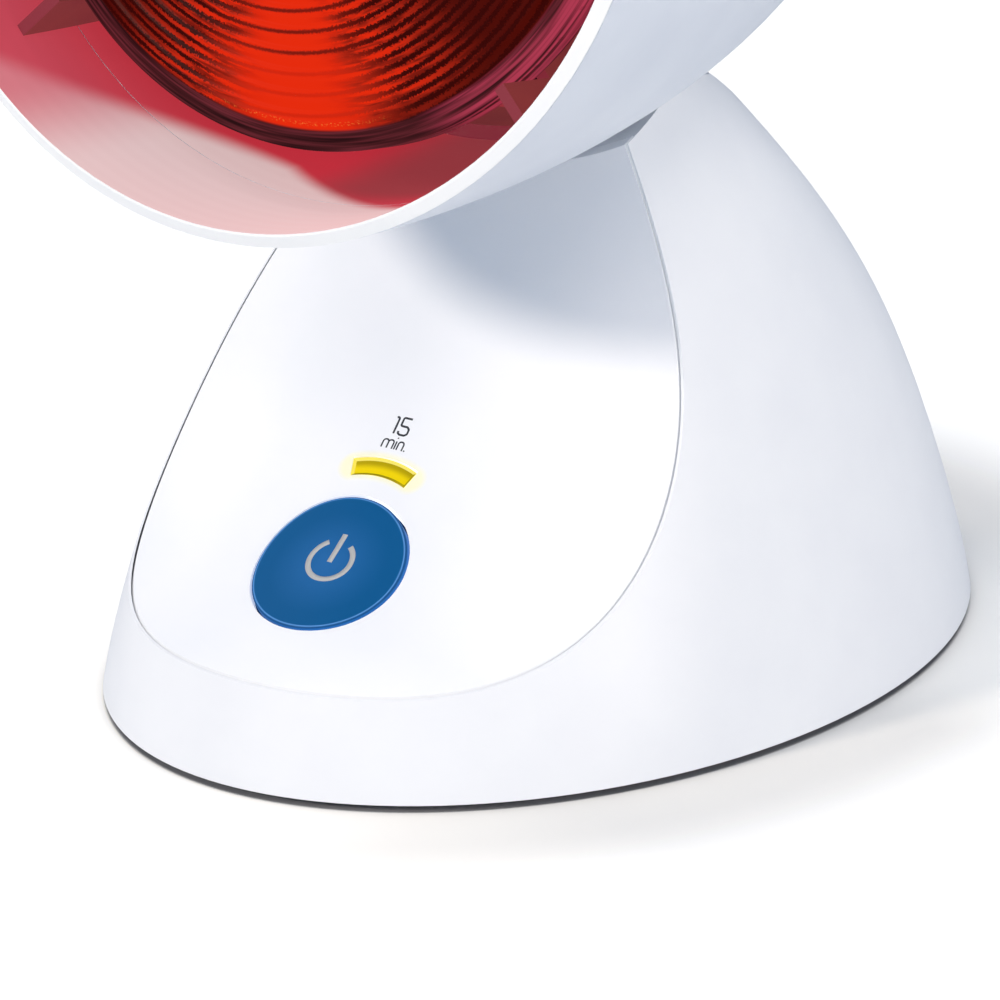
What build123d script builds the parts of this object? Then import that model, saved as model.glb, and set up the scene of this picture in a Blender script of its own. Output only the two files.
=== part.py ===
from build123d import *
import os
from math import asin, cos, radians, sin, sqrt, tan
from typing import NamedTuple

# Infrared heat therapy lamp: a tilting shade with a red reflector lamp on a mound-shaped base.
# X is to the right, -Y is the front that faces the user, and Z is up. Lengths are in millimetres.
# Heights are drawn from the lower edge of the base shell, and finish() lifts every piece by
# foot_proud, so that the rubber feet stand on z = 0.


class Screw(NamedTuple):
    """Sizes of a pan-head screw."""

    shank: float
    length: float
    head: float
    head_height: float


# ---------------------------------------------------------------- fasteners
board_screw = Screw(0.95, 7.0, 2.1, 1.4)
plate_screw = Screw(1.25, 11.0, 3.0, 1.1)
control_screw = Screw(1.15, 6.0, 2.6, 1.8)
post_screw = Screw(1.55, 10.0, 3.6, 2.4)
holder_screw = Screw(1.65, 8.0, 3.4, 2.2)
strap_screw = Screw(1.25, 9.0, 2.8, 2.0)
# Room around a shank in its thread, around a shank that passes through, and around a sunk head.
thread_gap = 0.05
pass_gap = 0.45
well_gap = 0.2
blind_depth = 1.0

# ---------------------------------------------------------------- base mound
base_half_width = 64.0
base_half_length = 88.2
base_wall = 2.5
# Height of each section of the mound, and its width as a share of the foot's width.
mound_sections = (
    (0.0, 1.0), (15.0, 0.954), (30.0, 0.893), (60.0, 0.719), (75.0, 0.586), (90.0, 0.428), (105.0, 0.253)
)
foot_proud = 1.2

# ---------------------------------------------------------------- front panel
# The panel is a concave sweep from front to back with a gentle crown from side to side.
sweep_radius = 129.6
sweep_centre_y = -134.6
sweep_centre_z = 135.4
crown_radius = 92.5
crown_sections = 3
panel_wall = 2.2
panel_land = 0.7
seam = 0.35
seat_gap = 0.1

# ---------------------------------------------------------------- power button and indicator
button_y = -60.3
button_radius = 13.45
button_gap = 0.35
button_proud = 0.3
button_travel = 1.0
button_skirt_depth = 3.9
button_flange_radius = 14.9
button_flange_wall = 1.4
button_stem_radius = 2.6
button_wall = 1.6
button_crown_wall = 1.8
button_brow = 0.5
indicator_inner_radius = 17.8
indicator_outer_radius = 21.1
indicator_half_angle = 17.5
indicator_gap = 0.12
switch_board_depth = 12.0
switch_board_width = 32.0
switch_board_length = 46.0
switch_board_shift = 6.0
board_thickness = 1.6
switch_height = 3.6
switch_side = 6.0
switch_corner = 0.6
switch_floor = 0.4
plunger_radius = 1.75
plunger_gap = 0.15
plunger_reach = 2.0
lamp_led_radius = 2.5
lamp_led_height = 7.6
lamp_led_rim_radius = 2.9
lamp_led_rim_height = 1.0
board_post_radius = 2.4
board_post_x = 12.6
board_post_inset = 3.0
board_corner = 1.5
stem_rest = 1.0

# ---------------------------------------------------------------- bottom plate and feet
plate_wall = 2.4
plate_recess = 0.4
plate_gap = 0.3
plate_screw_x = 46.0
plate_screw_end = 40.2
floor_boss_radius = 3.8
foot_radius = 8.0
foot_x = 32.0
foot_end = 28.2
foot_socket = 1.0
foot_gap = 0.1
foot_round = 0.6
plate_screw_well = 1.2
vent_slots = 7
vent_slot_width = 2.4
vent_slot_length = 22.0
vent_pitch = 5.0
vent_y = -33.0

# ---------------------------------------------------------------- control electronics
power_board_width = 62.0
power_board_length = 64.0
power_board_y = 22.0
standoff_height = 6.0
standoff_radius = 3.0
standoff_inset = 4.0
block_corner = 1.0
# Each block's width, length and height, and its place from the middle of the board.
relay_size = (15.4, 19.2, 15.6)
relay_place = (-16.0, 10.0)
core_size = (14.0, 30.0, 26.0)
core_limb = 6.0
core_place = (13.0, 9.0)
winding_wall = 4.0
winding_gap = 0.3
capacitor_size = (18.0, 8.5, 14.5)
capacitor_place = (-14.0, -12.0)
terminal_ways = 4
terminal_pitch = 5.0
terminal_size = (20.0, 9.0, 11.0)
terminal_place = (14.0, -18.0)
terminal_mouth_radius = 1.6
terminal_mouth_height = 3.6
fuse_radius = 2.5
fuse_length = 20.0
fuse_clip_x = 8.4
fuse_clip_wall = 2.0
fuse_place = (-14.0, -24.0)

# ---------------------------------------------------------------- cord inlet
inlet_height = 14.0
inlet_bore_radius = 3.5
grommet_neck_radius = 6.0
grommet_flange_radius = 8.2
grommet_wall_seat = 5.6
grommet_tail = 5.9
inlet_pad_radius = 9.6
inlet_pad_depth = 10.2
grommet_gap = 0.15
grommet_flange = 2.0
grommet_wall = 1.6
seat_side_gap = 0.4

# ---------------------------------------------------------------- lamp head
head_tilt = 9.64
rim_centre_y = -77.2
rim_centre_z = 165.0
# The shade is part of an ellipsoid whose widest section lies ahead of its rim.
shade_radius = 75.1
shade_reach = 172.9
shade_lead = 26.75
shade_wall = 2.2
shade_tail = 20.0
rim_leaf = 1.25
rim_lip_depth = 24.0
rim_nose = 1.3
rim_seam = 0.12
rim_land = 0.4
head_gap = 1.5

# ---------------------------------------------------------------- tilt hinge
pivot_depth = 92.0
bulb_eye_gap = 3.0
tilt_up = 30.0
tilt_down = 10.0
pin_radius = 3.0
pin_running_gap = 0.05
pin_seat_gap = 0.02
eye_radius = 8.0
post_half_width = 7.0
post_half_depth = 6.5
post_hole_gap = 0.4
post_flange_x = 20.0
post_flange_y = 13.0
post_flange_wall = 4.0
post_flange_top = 82.0
post_screw_x = 14.5
post_boss_radius = 4.2
post_boss_length = 30.0
post_flange_corner = 4.0
washer_wall = 1.3
washer_gap = 0.1
washer_radius = 7.0
cheek_wall = 3.6
cheek_half_depth = 8.0
bracket_half_width = 23.0
bracket_margin = 5.5
bracket_rear_gap = 0.8
bracket_wall = 3.0
slot_gap = 1.0
slot_front_reach = 8.0
slot_rear_reach = 15.0
slot_side_gap = 1.0
pin_head_radius = 5.4
pin_head_height = 2.6
pin_tail = 1.4
nut_radius = 5.2
nut_height = 4.6
bracket_screw_x = 18.0
bracket_screw_inset = 4.5
bracket_screw_well = 1.2

# ---------------------------------------------------------------- reflector lamp
lamp_rim_radius = 60.5
lamp_rim_depth = 15.1
lens_crown = 8.0
lens_wall = 3.0
lens_flange = 2.1
lens_flange_width = 3.5
lens_rings = 16
lens_ring_pitch = 3.35
lens_ring_first = 4.7
lens_ring_height = 0.55
lens_ring_foot = 1.45
lens_ring_sunk = 0.5
glass_wall = 2.6
glass_flange = 4.3
glass_gap = 0.05
axis_gap = 0.01
neck_length = 6.0
bowl_start_radius = 57.5
bowl_taper = 4.0
bowl_steps = 4
neck_radius = 15.5
neck_depth = 118.0
cap_radius = 13.2
cap_length = 23.0
cap_thread_turns = 5
cap_thread_radius = 0.9
cap_collar = 2.0
cap_plain = 6.0
cap_wall = 1.2
cap_ring = 2.0
cap_contact_radius = 4.6
cap_contact_length = 3.0

# ---------------------------------------------------------------- lamp cradle
fin_wall = 2.0
fin_count = 4
fin_front = 11.0
fin_gap = 0.8
fin_seat_gap = 0.15
fin_root_gap = 0.4
cradle_bracket_gap = 9.0
cradle_ring_length = 8.0
cradle_ring_wall = 2.4

# ---------------------------------------------------------------- lampholder and strap
holder_radius = 22.0
holder_mouth = 4.0
holder_floor = 12.0
holder_foot = 12.0
holder_foot_step = 3.0
holder_groove = 2.0
holder_groove_depth = 12.0
holder_clearance = 0.5
holder_screw_x = 12.0
strap_wall = 1.5
strap_width = 20.0
strap_half_span = 30.0
strap_foot_x = 45.0
strap_foot_inset = 11.0
strap_bend = 2.5
strap_seat_gap = 0.05
strap_screw_x = 39.5
strap_boss_half_width = 4.5
strap_boss_inner_x = 34.5
strap_boss_length = 14.0

# ---------------------------------------------------------------- rear cover
cover_step = 0.7
cover_back_radius = 36.0
cover_room = 9.9
cover_corner = 14.0
cover_wall = 2.2
cover_spigot_length = 6.0
cover_spigot_wall = 2.0
cover_gap = 0.3
cover_slots = 20
cover_slot_width = 3.0
cover_slot_front_margin = 8.0
cover_slot_rear_margin = 17.9
cover_screw_well = 4.0
cover_back_slots = 12
cover_back_slot_width = 2.4
cover_back_slot_start = 8.0
cover_back_slot_end = 21.0
cover_seam = 0.15
cover_pillar_radius = 4.2
cover_screw_x = 23.0

# ---------------------------------------------------------------- worked-out places
tilt = radians(head_tilt)
head_place = Plane(origin=(0, rim_centre_y, rim_centre_z), x_dir=(1, 0, 0), z_dir=(0, -cos(tilt), sin(tilt)))
bowl_depth = neck_depth - neck_length
bowl_front = lamp_rim_depth + lens_flange + glass_flange
holder_front = neck_depth - holder_mouth
holder_back = neck_depth + cap_length + cap_contact_length + holder_floor
cover_back = holder_back + cover_room
shade_depth = pivot_depth + shade_tail
strap_foot_depth = shade_depth - strap_foot_inset


def bowl_radius(depth):
    """Outer radius of the lamp's bowl at a depth behind the shade's rim."""
    share = (bowl_depth + bowl_taper - depth) / (bowl_depth + bowl_taper - bowl_front)
    return bowl_start_radius * sqrt(share)


cover_screw = Screw(1.25, cover_room - cover_screw_well + strap_wall, 3.0, 2.2)
bracket_screw = Screw(1.25, shade_wall - bracket_screw_well + bracket_wall, 3.0, 1.1)
pivot_drop = bowl_radius(pivot_depth) + eye_radius + bulb_eye_gap
pivot_y = rim_centre_y + pivot_depth * cos(tilt) - pivot_drop * sin(tilt)
pivot_z = rim_centre_z - pivot_depth * sin(tilt) - pivot_drop * cos(tilt)
button_slope = asin((button_y - sweep_centre_y) / sweep_radius)
button_z = sweep_centre_z - sweep_radius * cos(button_slope)
button_place = Plane(
    origin=(0, button_y, button_z), x_dir=(1, 0, 0), z_dir=(0, -sin(button_slope), cos(button_slope))
)
plate_top = plate_recess + plate_wall
plate_screw_y = base_half_length - plate_screw_end
foot_y = base_half_length - foot_end
inlet_pad_inner_y = base_half_length - inlet_pad_depth
cheek_inner_x = post_half_width + 2 * washer_gap + washer_wall
cheek_outer_x = cheek_inner_x + cheek_wall
UPRIGHT = (Align.CENTER, Align.CENTER, Align.MIN)
HANGING = (Align.CENTER, Align.CENTER, Align.MAX)
FOUR_WAYS = ((1, 1), (-1, 1), (-1, -1), (1, -1))


# ================================================================ shared forms
def turned(profile):
    """Solid of revolution about the local Z axis, from a profile drawn as radius and height."""
    return revolve(Plane.XZ * profile, Axis.Z)


def band(low, high, inner=0.0, outer=100.0):
    """Rectangle of a profile from one radius to another, between two heights."""
    return Pos((inner + outer) / 2, (low + high) / 2) * Rectangle(outer - inner, high - low)


def pan_screw(screw):
    """Screw that points down, with the underside of its head at z = 0."""
    shank = Cylinder(screw.shank, screw.length, align=HANGING)
    head = Cylinder(screw.head, screw.head_height, align=UPRIGHT)
    head = fillet(head.edges().group_by(Axis.Z)[-1], screw.head_height * 0.4)
    slot = Box(screw.head * 1.3, screw.head * 0.25, screw.head_height * 0.7)
    cross = slot + Rot(0, 0, 90) * slot
    return shank + head - Pos(0, 0, screw.head_height) * cross


def thread_hole(screw, passed):
    """Blind hole upwards from z = 0 for the thread left of a screw that has passed another piece."""
    return Cylinder(screw.shank + thread_gap, screw.length - passed + blind_depth, align=UPRIGHT)


def pass_hole(screw, length):
    """Hole that a screw's shank passes through, open both ways from z = 0."""
    return Cylinder(screw.shank + pass_gap, 2 * length)


def head_well(screw, depth):
    """Sunk seat for a screw's head, which rises from z = 0."""
    return Cylinder(screw.head + well_gap, depth, align=UPRIGHT)


def mound(inset):
    """The mound, with its skin moved inwards by inset."""
    sections = []
    for height, share in mound_sections:
        outline = Ellipse(base_half_width * share - inset, base_half_length * share - inset)
        sections.append(Pos(0, 0, height) * outline)
    return loft(sections)


def panel_side(depth):
    """All the space in front of the panel's surface, and to a depth behind it."""
    sections = []
    for step in range(-crown_sections, crown_sections + 1):
        x = step * base_half_width * 1.05 / crown_sections
        drop = crown_radius - sqrt(crown_radius**2 - x**2)
        outline = Rot(0, 0, 180) * Circle(sweep_radius + depth)
        sections.append(Plane.YZ.offset(x) * Pos(sweep_centre_y, sweep_centre_z - drop) * outline)
    return loft(sections)


def shade_outline(inset):
    """Section through the shade's whole ellipsoid, moved inwards by inset."""
    return Pos(0, shade_lead) * Ellipse(shade_radius - inset, shade_reach - inset)


def shade_outline_radius(depth, inset):
    """Radius of the shade's ellipsoid at a depth behind the rim."""
    along = (depth + shade_lead) / (shade_reach - inset)
    return (shade_radius - inset) * sqrt(1 - along**2)


cover_front_radius = shade_outline_radius(shade_depth, 0) - cover_step


def cover_outline(grow):
    """Closed section of the rear cover's outer form, made larger by grow."""
    outline = Polygon(
        (0, -shade_depth + grow),
        (cover_front_radius + grow, -shade_depth + grow),
        (cover_back_radius + grow, -cover_back - grow),
        (0, -cover_back - grow),
        align=None,
    )
    corner = outline.vertices().sort_by(Axis.Y)[:2].sort_by(Axis.X)[-1]
    return fillet(corner, cover_corner + grow)


def tilted(shape, angle):
    """A shape of the head turned about the hinge, where a positive angle lifts the rim."""
    return Pos(0, pivot_y, pivot_z) * Rot(-angle, 0, 0) * Pos(0, -pivot_y, -pivot_z) * shape


def head_sweep(gap):
    """Room that the head takes between its two tilt limits, grown by gap."""
    form = turned((shade_outline(-gap) & band(-shade_depth - gap, -30)) + cover_outline(gap))
    placed = head_place * form
    return [tilted(placed, angle) for angle in (-tilt_down, (tilt_up - tilt_down) / 2, tilt_up)]


def carve(body, tools):
    """The body with each tool cut from it in turn."""
    for tool in tools:
        body = body - tool
    return body


# ================================================================ base
def base_cavity(inset, sweep_gap):
    """Inside of the mound, clear of the head's sweep."""
    return carve(mound(inset), head_sweep(sweep_gap))


def make_base_shell():
    """Moulded mound with a pocket for the front panel, a saddle under the head, and screw bosses."""
    outer = carve(mound(0), head_sweep(head_gap)) - panel_side(0)
    pocket = mound(panel_land - seam) & panel_side(panel_wall + seat_gap)
    shell = outer - pocket - base_cavity(base_wall, head_gap + base_wall)
    inside_wall = base_cavity(base_wall / 2, head_gap + base_wall / 2)
    behind_panel = inside_wall - panel_side(panel_wall + 1.0)
    for side_x, side_y in FOUR_WAYS:
        boss = Cylinder(floor_boss_radius, base_half_width, align=UPRIGHT)
        place = Pos(side_x * plate_screw_x, side_y * plate_screw_y, plate_top)
        shell = shell + (place * boss & behind_panel) - place * thread_hole(plate_screw, plate_screw_well)
    for side in (-1, 1):
        boss = Cylinder(post_boss_radius, post_boss_length, align=UPRIGHT)
        place = Pos(side * post_screw_x, pivot_y, post_flange_top)
        shell = shell + (place * boss & inside_wall) - place * thread_hole(post_screw, post_flange_wall)
    hole_width = 2 * (post_half_width + post_hole_gap)
    hole_depth = 2 * (post_half_depth + post_hole_gap)
    post_hole = Box(hole_width, hole_depth, base_half_width, align=UPRIGHT)
    shell = shell - Pos(0, pivot_y, post_flange_top) * post_hole
    rear_axis = Plane(origin=(0, inlet_pad_inner_y, inlet_height), x_dir=(1, 0, 0), z_dir=(0, 1, 0))
    pad = rear_axis * Cylinder(inlet_pad_radius, base_half_length, align=UPRIGHT)
    seat = Cylinder(grommet_flange_radius + seat_side_gap, base_half_length, align=UPRIGHT)
    seat = rear_axis.offset(grommet_wall_seat) * seat
    bore = rear_axis * Cylinder(grommet_neck_radius + grommet_gap, base_half_length)
    return shell + (pad & mound(base_wall / 2)) - seat - bore


def indicator_sector(grow):
    """Ring sector of the indicator, drawn around the button's centre."""
    sector = Circle(indicator_outer_radius + grow) - Circle(indicator_inner_radius - grow)
    reach = 2 * indicator_outer_radius
    angle = radians(indicator_half_angle)
    shift = grow / cos(angle)
    wedge = Polygon((0, -shift / tan(angle)), (reach * tan(angle), reach - shift / tan(angle)),
                    (-reach * tan(angle), reach - shift / tan(angle)), align=None)
    return sector & wedge


def board_post_places():
    """Centres of the switch board's four posts, on the button's plane."""
    half = switch_board_length / 2 - board_post_inset
    return [(x * board_post_x, switch_board_shift + y * half) for x, y in FOUR_WAYS]


def make_front_panel():
    """Curved panel with the button's hole, the indicator's window and the switch board's posts."""
    plate = (mound(panel_land) & panel_side(panel_wall)) - panel_side(0)
    plate = carve(plate, head_sweep(head_gap))
    for x, y in board_post_places():
        post = Cylinder(board_post_radius, 2 * switch_board_depth, align=UPRIGHT)
        post = button_place * Pos(x, y, -switch_board_depth) * post
        plate = plate + (post - panel_side(panel_wall / 2))
    for x, y in board_post_places():
        pilot = thread_hole(board_screw, board_thickness)
        plate = plate - button_place * Pos(x, y, -switch_board_depth) * pilot
    hole = Cylinder(button_radius + button_gap, 2 * switch_board_depth)
    window = extrude(indicator_sector(indicator_gap), button_skirt_depth, both=True)
    return plate - button_place * hole - button_place * window


def make_indicator_window():
    """Yellow light guide that fills the sector above the button."""
    block = button_place * extrude(indicator_sector(0), button_skirt_depth, both=True)
    return (block & panel_side(panel_wall)) - panel_side(0)


def plunger_top():
    """Depth of the plunger's top below the button's plane."""
    return switch_board_depth - switch_height - button_travel


def make_power_button():
    """Round button cap with a skirt, a retaining flange and a stem that reaches the switch."""
    cap = Cylinder(button_radius, 2 * button_skirt_depth)
    cap = button_place * cap - panel_side(-button_proud)
    cap = fillet(cap.edges().filter_by(GeomType.BSPLINE), button_brow)
    hollow = Cylinder(button_radius - button_wall, button_skirt_depth - button_crown_wall, align=UPRIGHT)
    cap = cap - button_place * Pos(0, 0, -button_skirt_depth) * hollow
    ring = Cylinder(button_flange_radius, button_flange_wall, align=HANGING)
    ring = ring - Cylinder(button_radius - button_wall, 2 * button_flange_wall)
    stem = Cylinder(button_stem_radius, plunger_top() - stem_rest, align=HANGING)
    skirt = button_place * Pos(0, 0, -button_skirt_depth) * ring
    return cap + skirt + button_place * Pos(0, 0, -stem_rest) * stem


def make_switch_plunger():
    """Plunger of the push switch, which the button's stem rests on."""
    plunger = Cylinder(plunger_radius, button_travel + plunger_reach, align=HANGING)
    return button_place * Pos(0, 0, -plunger_top()) * plunger


def make_switch_body():
    """Body of the push switch, with a well for its plunger."""
    body = Box(switch_side, switch_side, switch_height, align=UPRIGHT)
    body = fillet(body.edges().filter_by(Axis.Z), switch_corner)
    well = Cylinder(plunger_radius + plunger_gap, switch_height - switch_floor, align=HANGING)
    well = Pos(0, 0, switch_height) * well
    return button_place * Pos(0, 0, -switch_board_depth) * (body - well)


def indicator_middle():
    """Radius through the middle of the indicator."""
    return (indicator_inner_radius + indicator_outer_radius) / 2


def make_indicator_light():
    """Dome light that shines through the indicator's window."""
    stem = Cylinder(lamp_led_radius, lamp_led_height, align=UPRIGHT)
    stem = fillet(stem.edges().group_by(Axis.Z)[-1], lamp_led_radius * 0.9)
    rim = Cylinder(lamp_led_rim_radius, lamp_led_rim_height, align=UPRIGHT)
    return button_place * Pos(0, indicator_middle(), -switch_board_depth) * (stem + rim)


def make_switch_board():
    """Small circuit board under the panel, screwed to its four posts."""
    board = Box(switch_board_width, switch_board_length, board_thickness, align=HANGING)
    board = fillet(board.edges().filter_by(Axis.Z), board_corner)
    board = Pos(0, switch_board_shift, -switch_board_depth) * board
    for x, y in board_post_places():
        board = board - Pos(x, y, -switch_board_depth) * pass_hole(board_screw, switch_board_depth)
    return button_place * board


def make_switch_board_screws():
    """Four screws that hold the small board to the panel's posts."""
    screws = []
    for x, y in board_post_places():
        place = button_place * Pos(x, y, -switch_board_depth - board_thickness) * Rot(180, 0, 0)
        screws.append(place * pan_screw(board_screw))
    return Compound(children=screws)


def foot_places():
    """Centres of the four rubber feet."""
    return [(x * foot_x, y * foot_y) for x, y in FOUR_WAYS]


def standoff_places():
    """Centres of the four posts under the control board."""
    half_x = power_board_width / 2 - standoff_inset
    half_y = power_board_length / 2 - standoff_inset
    return [(x * half_x, power_board_y + y * half_y) for x, y in FOUR_WAYS]


def make_bottom_plate():
    """Oval plate that closes the base, with foot sockets, vents, standoffs and screw holes."""
    slab = Box(3 * base_half_width, 3 * base_half_length, plate_wall, align=UPRIGHT)
    plate = mound(base_wall + plate_gap) & (Pos(0, 0, plate_recess) * slab)
    for x, y in foot_places():
        socket = Cylinder(foot_radius + foot_gap, plate_recess + foot_socket, align=UPRIGHT)
        plate = plate - Pos(x, y, 0) * socket
    for side_x, side_y in FOUR_WAYS:
        place = Pos(side_x * plate_screw_x, side_y * plate_screw_y, plate_recess)
        plate = plate - place * pass_hole(plate_screw, plate_wall)
        plate = plate - place * head_well(plate_screw, plate_screw_well)
    slot = extrude(SlotOverall(vent_slot_length, vent_slot_width), 2 * plate_wall, both=True)
    for index in range(vent_slots):
        x = (index - (vent_slots - 1) / 2) * vent_pitch
        plate = plate - Pos(x, vent_y, 0) * Rot(0, 0, 90) * slot
    for x, y in standoff_places():
        post = Cylinder(standoff_radius, standoff_height, align=UPRIGHT) - thread_hole(control_screw, 0)
        plate = plate + Pos(x, y, plate_top) * post
    return plate


def make_bottom_screws():
    """Four screws that hold the bottom plate to the shell's bosses."""
    screws = []
    for side_x, side_y in FOUR_WAYS:
        place = Pos(side_x * plate_screw_x, side_y * plate_screw_y, plate_recess + plate_screw_well)
        screws.append(place * Rot(180, 0, 0) * pan_screw(plate_screw))
    return Compound(children=screws)


def make_rubber_feet():
    """Four round feet in the plate's sockets."""
    feet = []
    for x, y in foot_places():
        foot = Cylinder(foot_radius, foot_proud + plate_recess + foot_socket, align=UPRIGHT)
        foot = fillet(foot.edges().group_by(Axis.Z)[0], foot_round)
        feet.append(Pos(x, y, -foot_proud) * foot)
    return Compound(children=feet)


def board_top():
    """Height of the control board's upper face."""
    return plate_top + standoff_height + board_thickness


def on_board(place, shape):
    """A shape put on the control board, at a place from the board's middle."""
    return Pos(place[0], power_board_y + place[1], board_top()) * shape


def make_power_board():
    """Control board on its four posts."""
    board = Box(power_board_width, power_board_length, board_thickness, align=HANGING)
    board = Pos(0, power_board_y, board_top()) * board
    for x, y in standoff_places():
        board = board - Pos(x, y, board_top()) * pass_hole(control_screw, 2 * board_thickness)
    return board


def make_power_board_screws():
    """Four screws that hold the control board."""
    screws = []
    for x, y in standoff_places():
        screws.append(Pos(x, y, board_top()) * pan_screw(control_screw))
    return Compound(children=screws)


def make_relay():
    """Relay that switches the lamp."""
    relay = Box(*relay_size, align=UPRIGHT)
    return on_board(relay_place, fillet(relay.edges().filter_by(Axis.Z), block_corner))


def make_transformer_core():
    """Laminated core with a window for the winding."""
    width, length, height = core_size
    window = Box(2 * width, length - 2 * core_limb, height - 2 * core_limb, align=UPRIGHT)
    core = Box(*core_size, align=UPRIGHT) - Pos(0, 0, core_limb) * window
    return on_board(core_place, core)


def make_transformer_winding():
    """Winding in the core's window, which stands out on both sides."""
    width, length, height = core_size
    room = 2 * (core_limb + winding_gap)
    winding = Box(width + 2 * winding_wall, length - room, height - room, align=UPRIGHT)
    winding = fillet(winding.edges().filter_by(Axis.Y), winding_wall - block_corner)
    return on_board(core_place, Pos(0, 0, core_limb + winding_gap) * winding)


def make_filter_capacitor():
    """Box capacitor that filters the mains."""
    body = Box(*capacitor_size, align=UPRIGHT)
    return on_board(capacitor_place, fillet(body.edges().filter_by(Axis.Z), block_corner))


def make_terminal_block():
    """Four-way screw terminal with wire mouths at the front and driver wells on top."""
    width, length, height = terminal_size
    block = Box(*terminal_size, align=UPRIGHT)
    mouth = Rot(90, 0, 0) * Cylinder(terminal_mouth_radius, length)
    well = Cylinder(terminal_mouth_radius, height)
    for index in range(terminal_ways):
        x = (index - (terminal_ways - 1) / 2) * terminal_pitch
        block = block - Pos(x, -length / 2, terminal_mouth_height) * mouth
        block = block - Pos(x, 0, height) * well
    return on_board(terminal_place, block)


def make_fuse():
    """Glass fuse lying in its two clips."""
    fuse = Pos(0, 0, 2 * fuse_radius) * Rot(0, 90, 0) * Cylinder(fuse_radius, fuse_length)
    clip = Box(fuse_clip_wall, 2.5 * fuse_radius, 2 * fuse_radius, align=UPRIGHT)
    for side in (-1, 1):
        fuse = fuse + Pos(side * fuse_clip_x, 0, 0) * clip
    return on_board(fuse_place, fuse)


def make_cord_grommet():
    """Rubber inlet for the mains cord, held in the wall between two flanges."""
    seat = grommet_wall_seat
    outer_face = seat + grommet_gap + grommet_flange
    profile = Polygon(
        (inlet_bore_radius, -grommet_gap - grommet_flange),
        (grommet_flange_radius, -grommet_gap - grommet_flange),
        (grommet_flange_radius, -grommet_gap),
        (grommet_neck_radius, -grommet_gap),
        (grommet_neck_radius, seat + grommet_gap),
        (grommet_flange_radius, seat + grommet_gap),
        (grommet_flange_radius, outer_face),
        (grommet_neck_radius, outer_face + grommet_wall / 2),
        (inlet_bore_radius + grommet_wall, seat + grommet_tail),
        (inlet_bore_radius, seat + grommet_tail),
        align=None,
    )
    place = Plane(origin=(0, inlet_pad_inner_y, inlet_height), x_dir=(1, 0, 0), z_dir=(0, 1, 0))
    return place * turned(profile)


def make_hinge_post():
    """Post that rises through the saddle and carries the hinge pin in its eye."""
    height = pivot_z - post_flange_top
    stem = Box(2 * post_half_width, 2 * post_half_depth, height + post_flange_wall, align=HANGING)
    eye = Rot(0, 90, 0) * Cylinder(eye_radius, 2 * post_half_width)
    flange = Box(2 * post_flange_x, 2 * post_flange_y, post_flange_wall, align=HANGING)
    flange = fillet(flange.edges().filter_by(Axis.Z), post_flange_corner)
    flange = Pos(0, 0, -height) * flange
    bore = Rot(0, 90, 0) * Cylinder(pin_radius + pin_running_gap, 3 * post_half_width)
    post = stem + eye + flange - bore
    for side in (-1, 1):
        hole = pass_hole(post_screw, 2 * post_flange_wall)
        post = post - Pos(side * post_screw_x, 0, -height) * hole
    return Pos(0, pivot_y, pivot_z) * post


def make_post_screws():
    """Two screws that hold the post's flange up against the shell's bosses."""
    screws = []
    for side in (-1, 1):
        place = Pos(side * post_screw_x, pivot_y, post_flange_top - post_flange_wall)
        screws.append(place * Rot(180, 0, 0) * pan_screw(post_screw))
    return Compound(children=screws)


# ================================================================ head
def in_head(shape):
    """A shape drawn on the lamp's axis, with the rim at z = 0, put in its place."""
    return head_place * shape


def post_reach(reach, angle):
    """How far along the lamp's axis the post needs room at the skin, when it leans by an angle."""
    drop = shade_outline_radius(pivot_depth + reach, 0) - pivot_drop
    return post_half_depth / cos(radians(angle)) + drop * tan(radians(angle)) + slot_gap


def hinge_slot():
    """Slot in the underside of the shade, as long as the post's way between the tilt limits."""
    front = post_reach(-slot_front_reach, tilt_down - head_tilt)
    rear = post_reach(slot_rear_reach, tilt_up + head_tilt)
    half_width = post_half_width + slot_side_gap
    slot = Box(2 * half_width, shade_radius, front + rear, align=(Align.CENTER, Align.MAX, Align.MAX))
    return Pos(0, -pivot_drop, front - pivot_depth) * slot


def slot_ends():
    """Depths of the hinge slot's front and rear ends."""
    box = hinge_slot().bounding_box()
    return -box.max.Z, -box.min.Z


def bracket_ends():
    """Depths of the hinge bracket's ends: ahead of the slot, and just ahead of the rear cover's spigot."""
    return slot_ends()[0] - bracket_margin, shade_depth - cover_spigot_length - bracket_rear_gap


def shade_face(x, depth):
    """Plane on the shade's underside at a width and a depth, with its Z axis outwards."""
    radius = shade_outline_radius(depth, 0)
    down = -sqrt(radius**2 - x**2)
    outward = (x / shade_radius**2, down / shade_radius**2, (-depth - shade_lead) / shade_reach**2)
    return Plane(origin=(x, down, -depth), x_dir=(-down, x, 0), z_dir=outward)


def bracket_screw_faces():
    """Planes on the shade's skin at the four screws of the hinge bracket."""
    front, rear = bracket_ends()
    faces = []
    for x in (-bracket_screw_x, bracket_screw_x):
        for depth in (front + bracket_screw_inset, rear - bracket_screw_inset):
            faces.append(shade_face(x, depth))
    return faces


def strap_boss(side):
    """Block inside the shade that the lampholder strap is screwed to."""
    length = base_half_width
    align = (Align.MIN, Align.CENTER, Align.MIN)
    boss = Box(length, 2 * strap_boss_half_width, strap_boss_length, align=align)
    boss = Pos(strap_boss_inner_x, 0, -strap_foot_depth + strap_wall / 2 + seat_gap) * boss
    return boss if side > 0 else mirror(boss, Plane.YZ)


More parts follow.
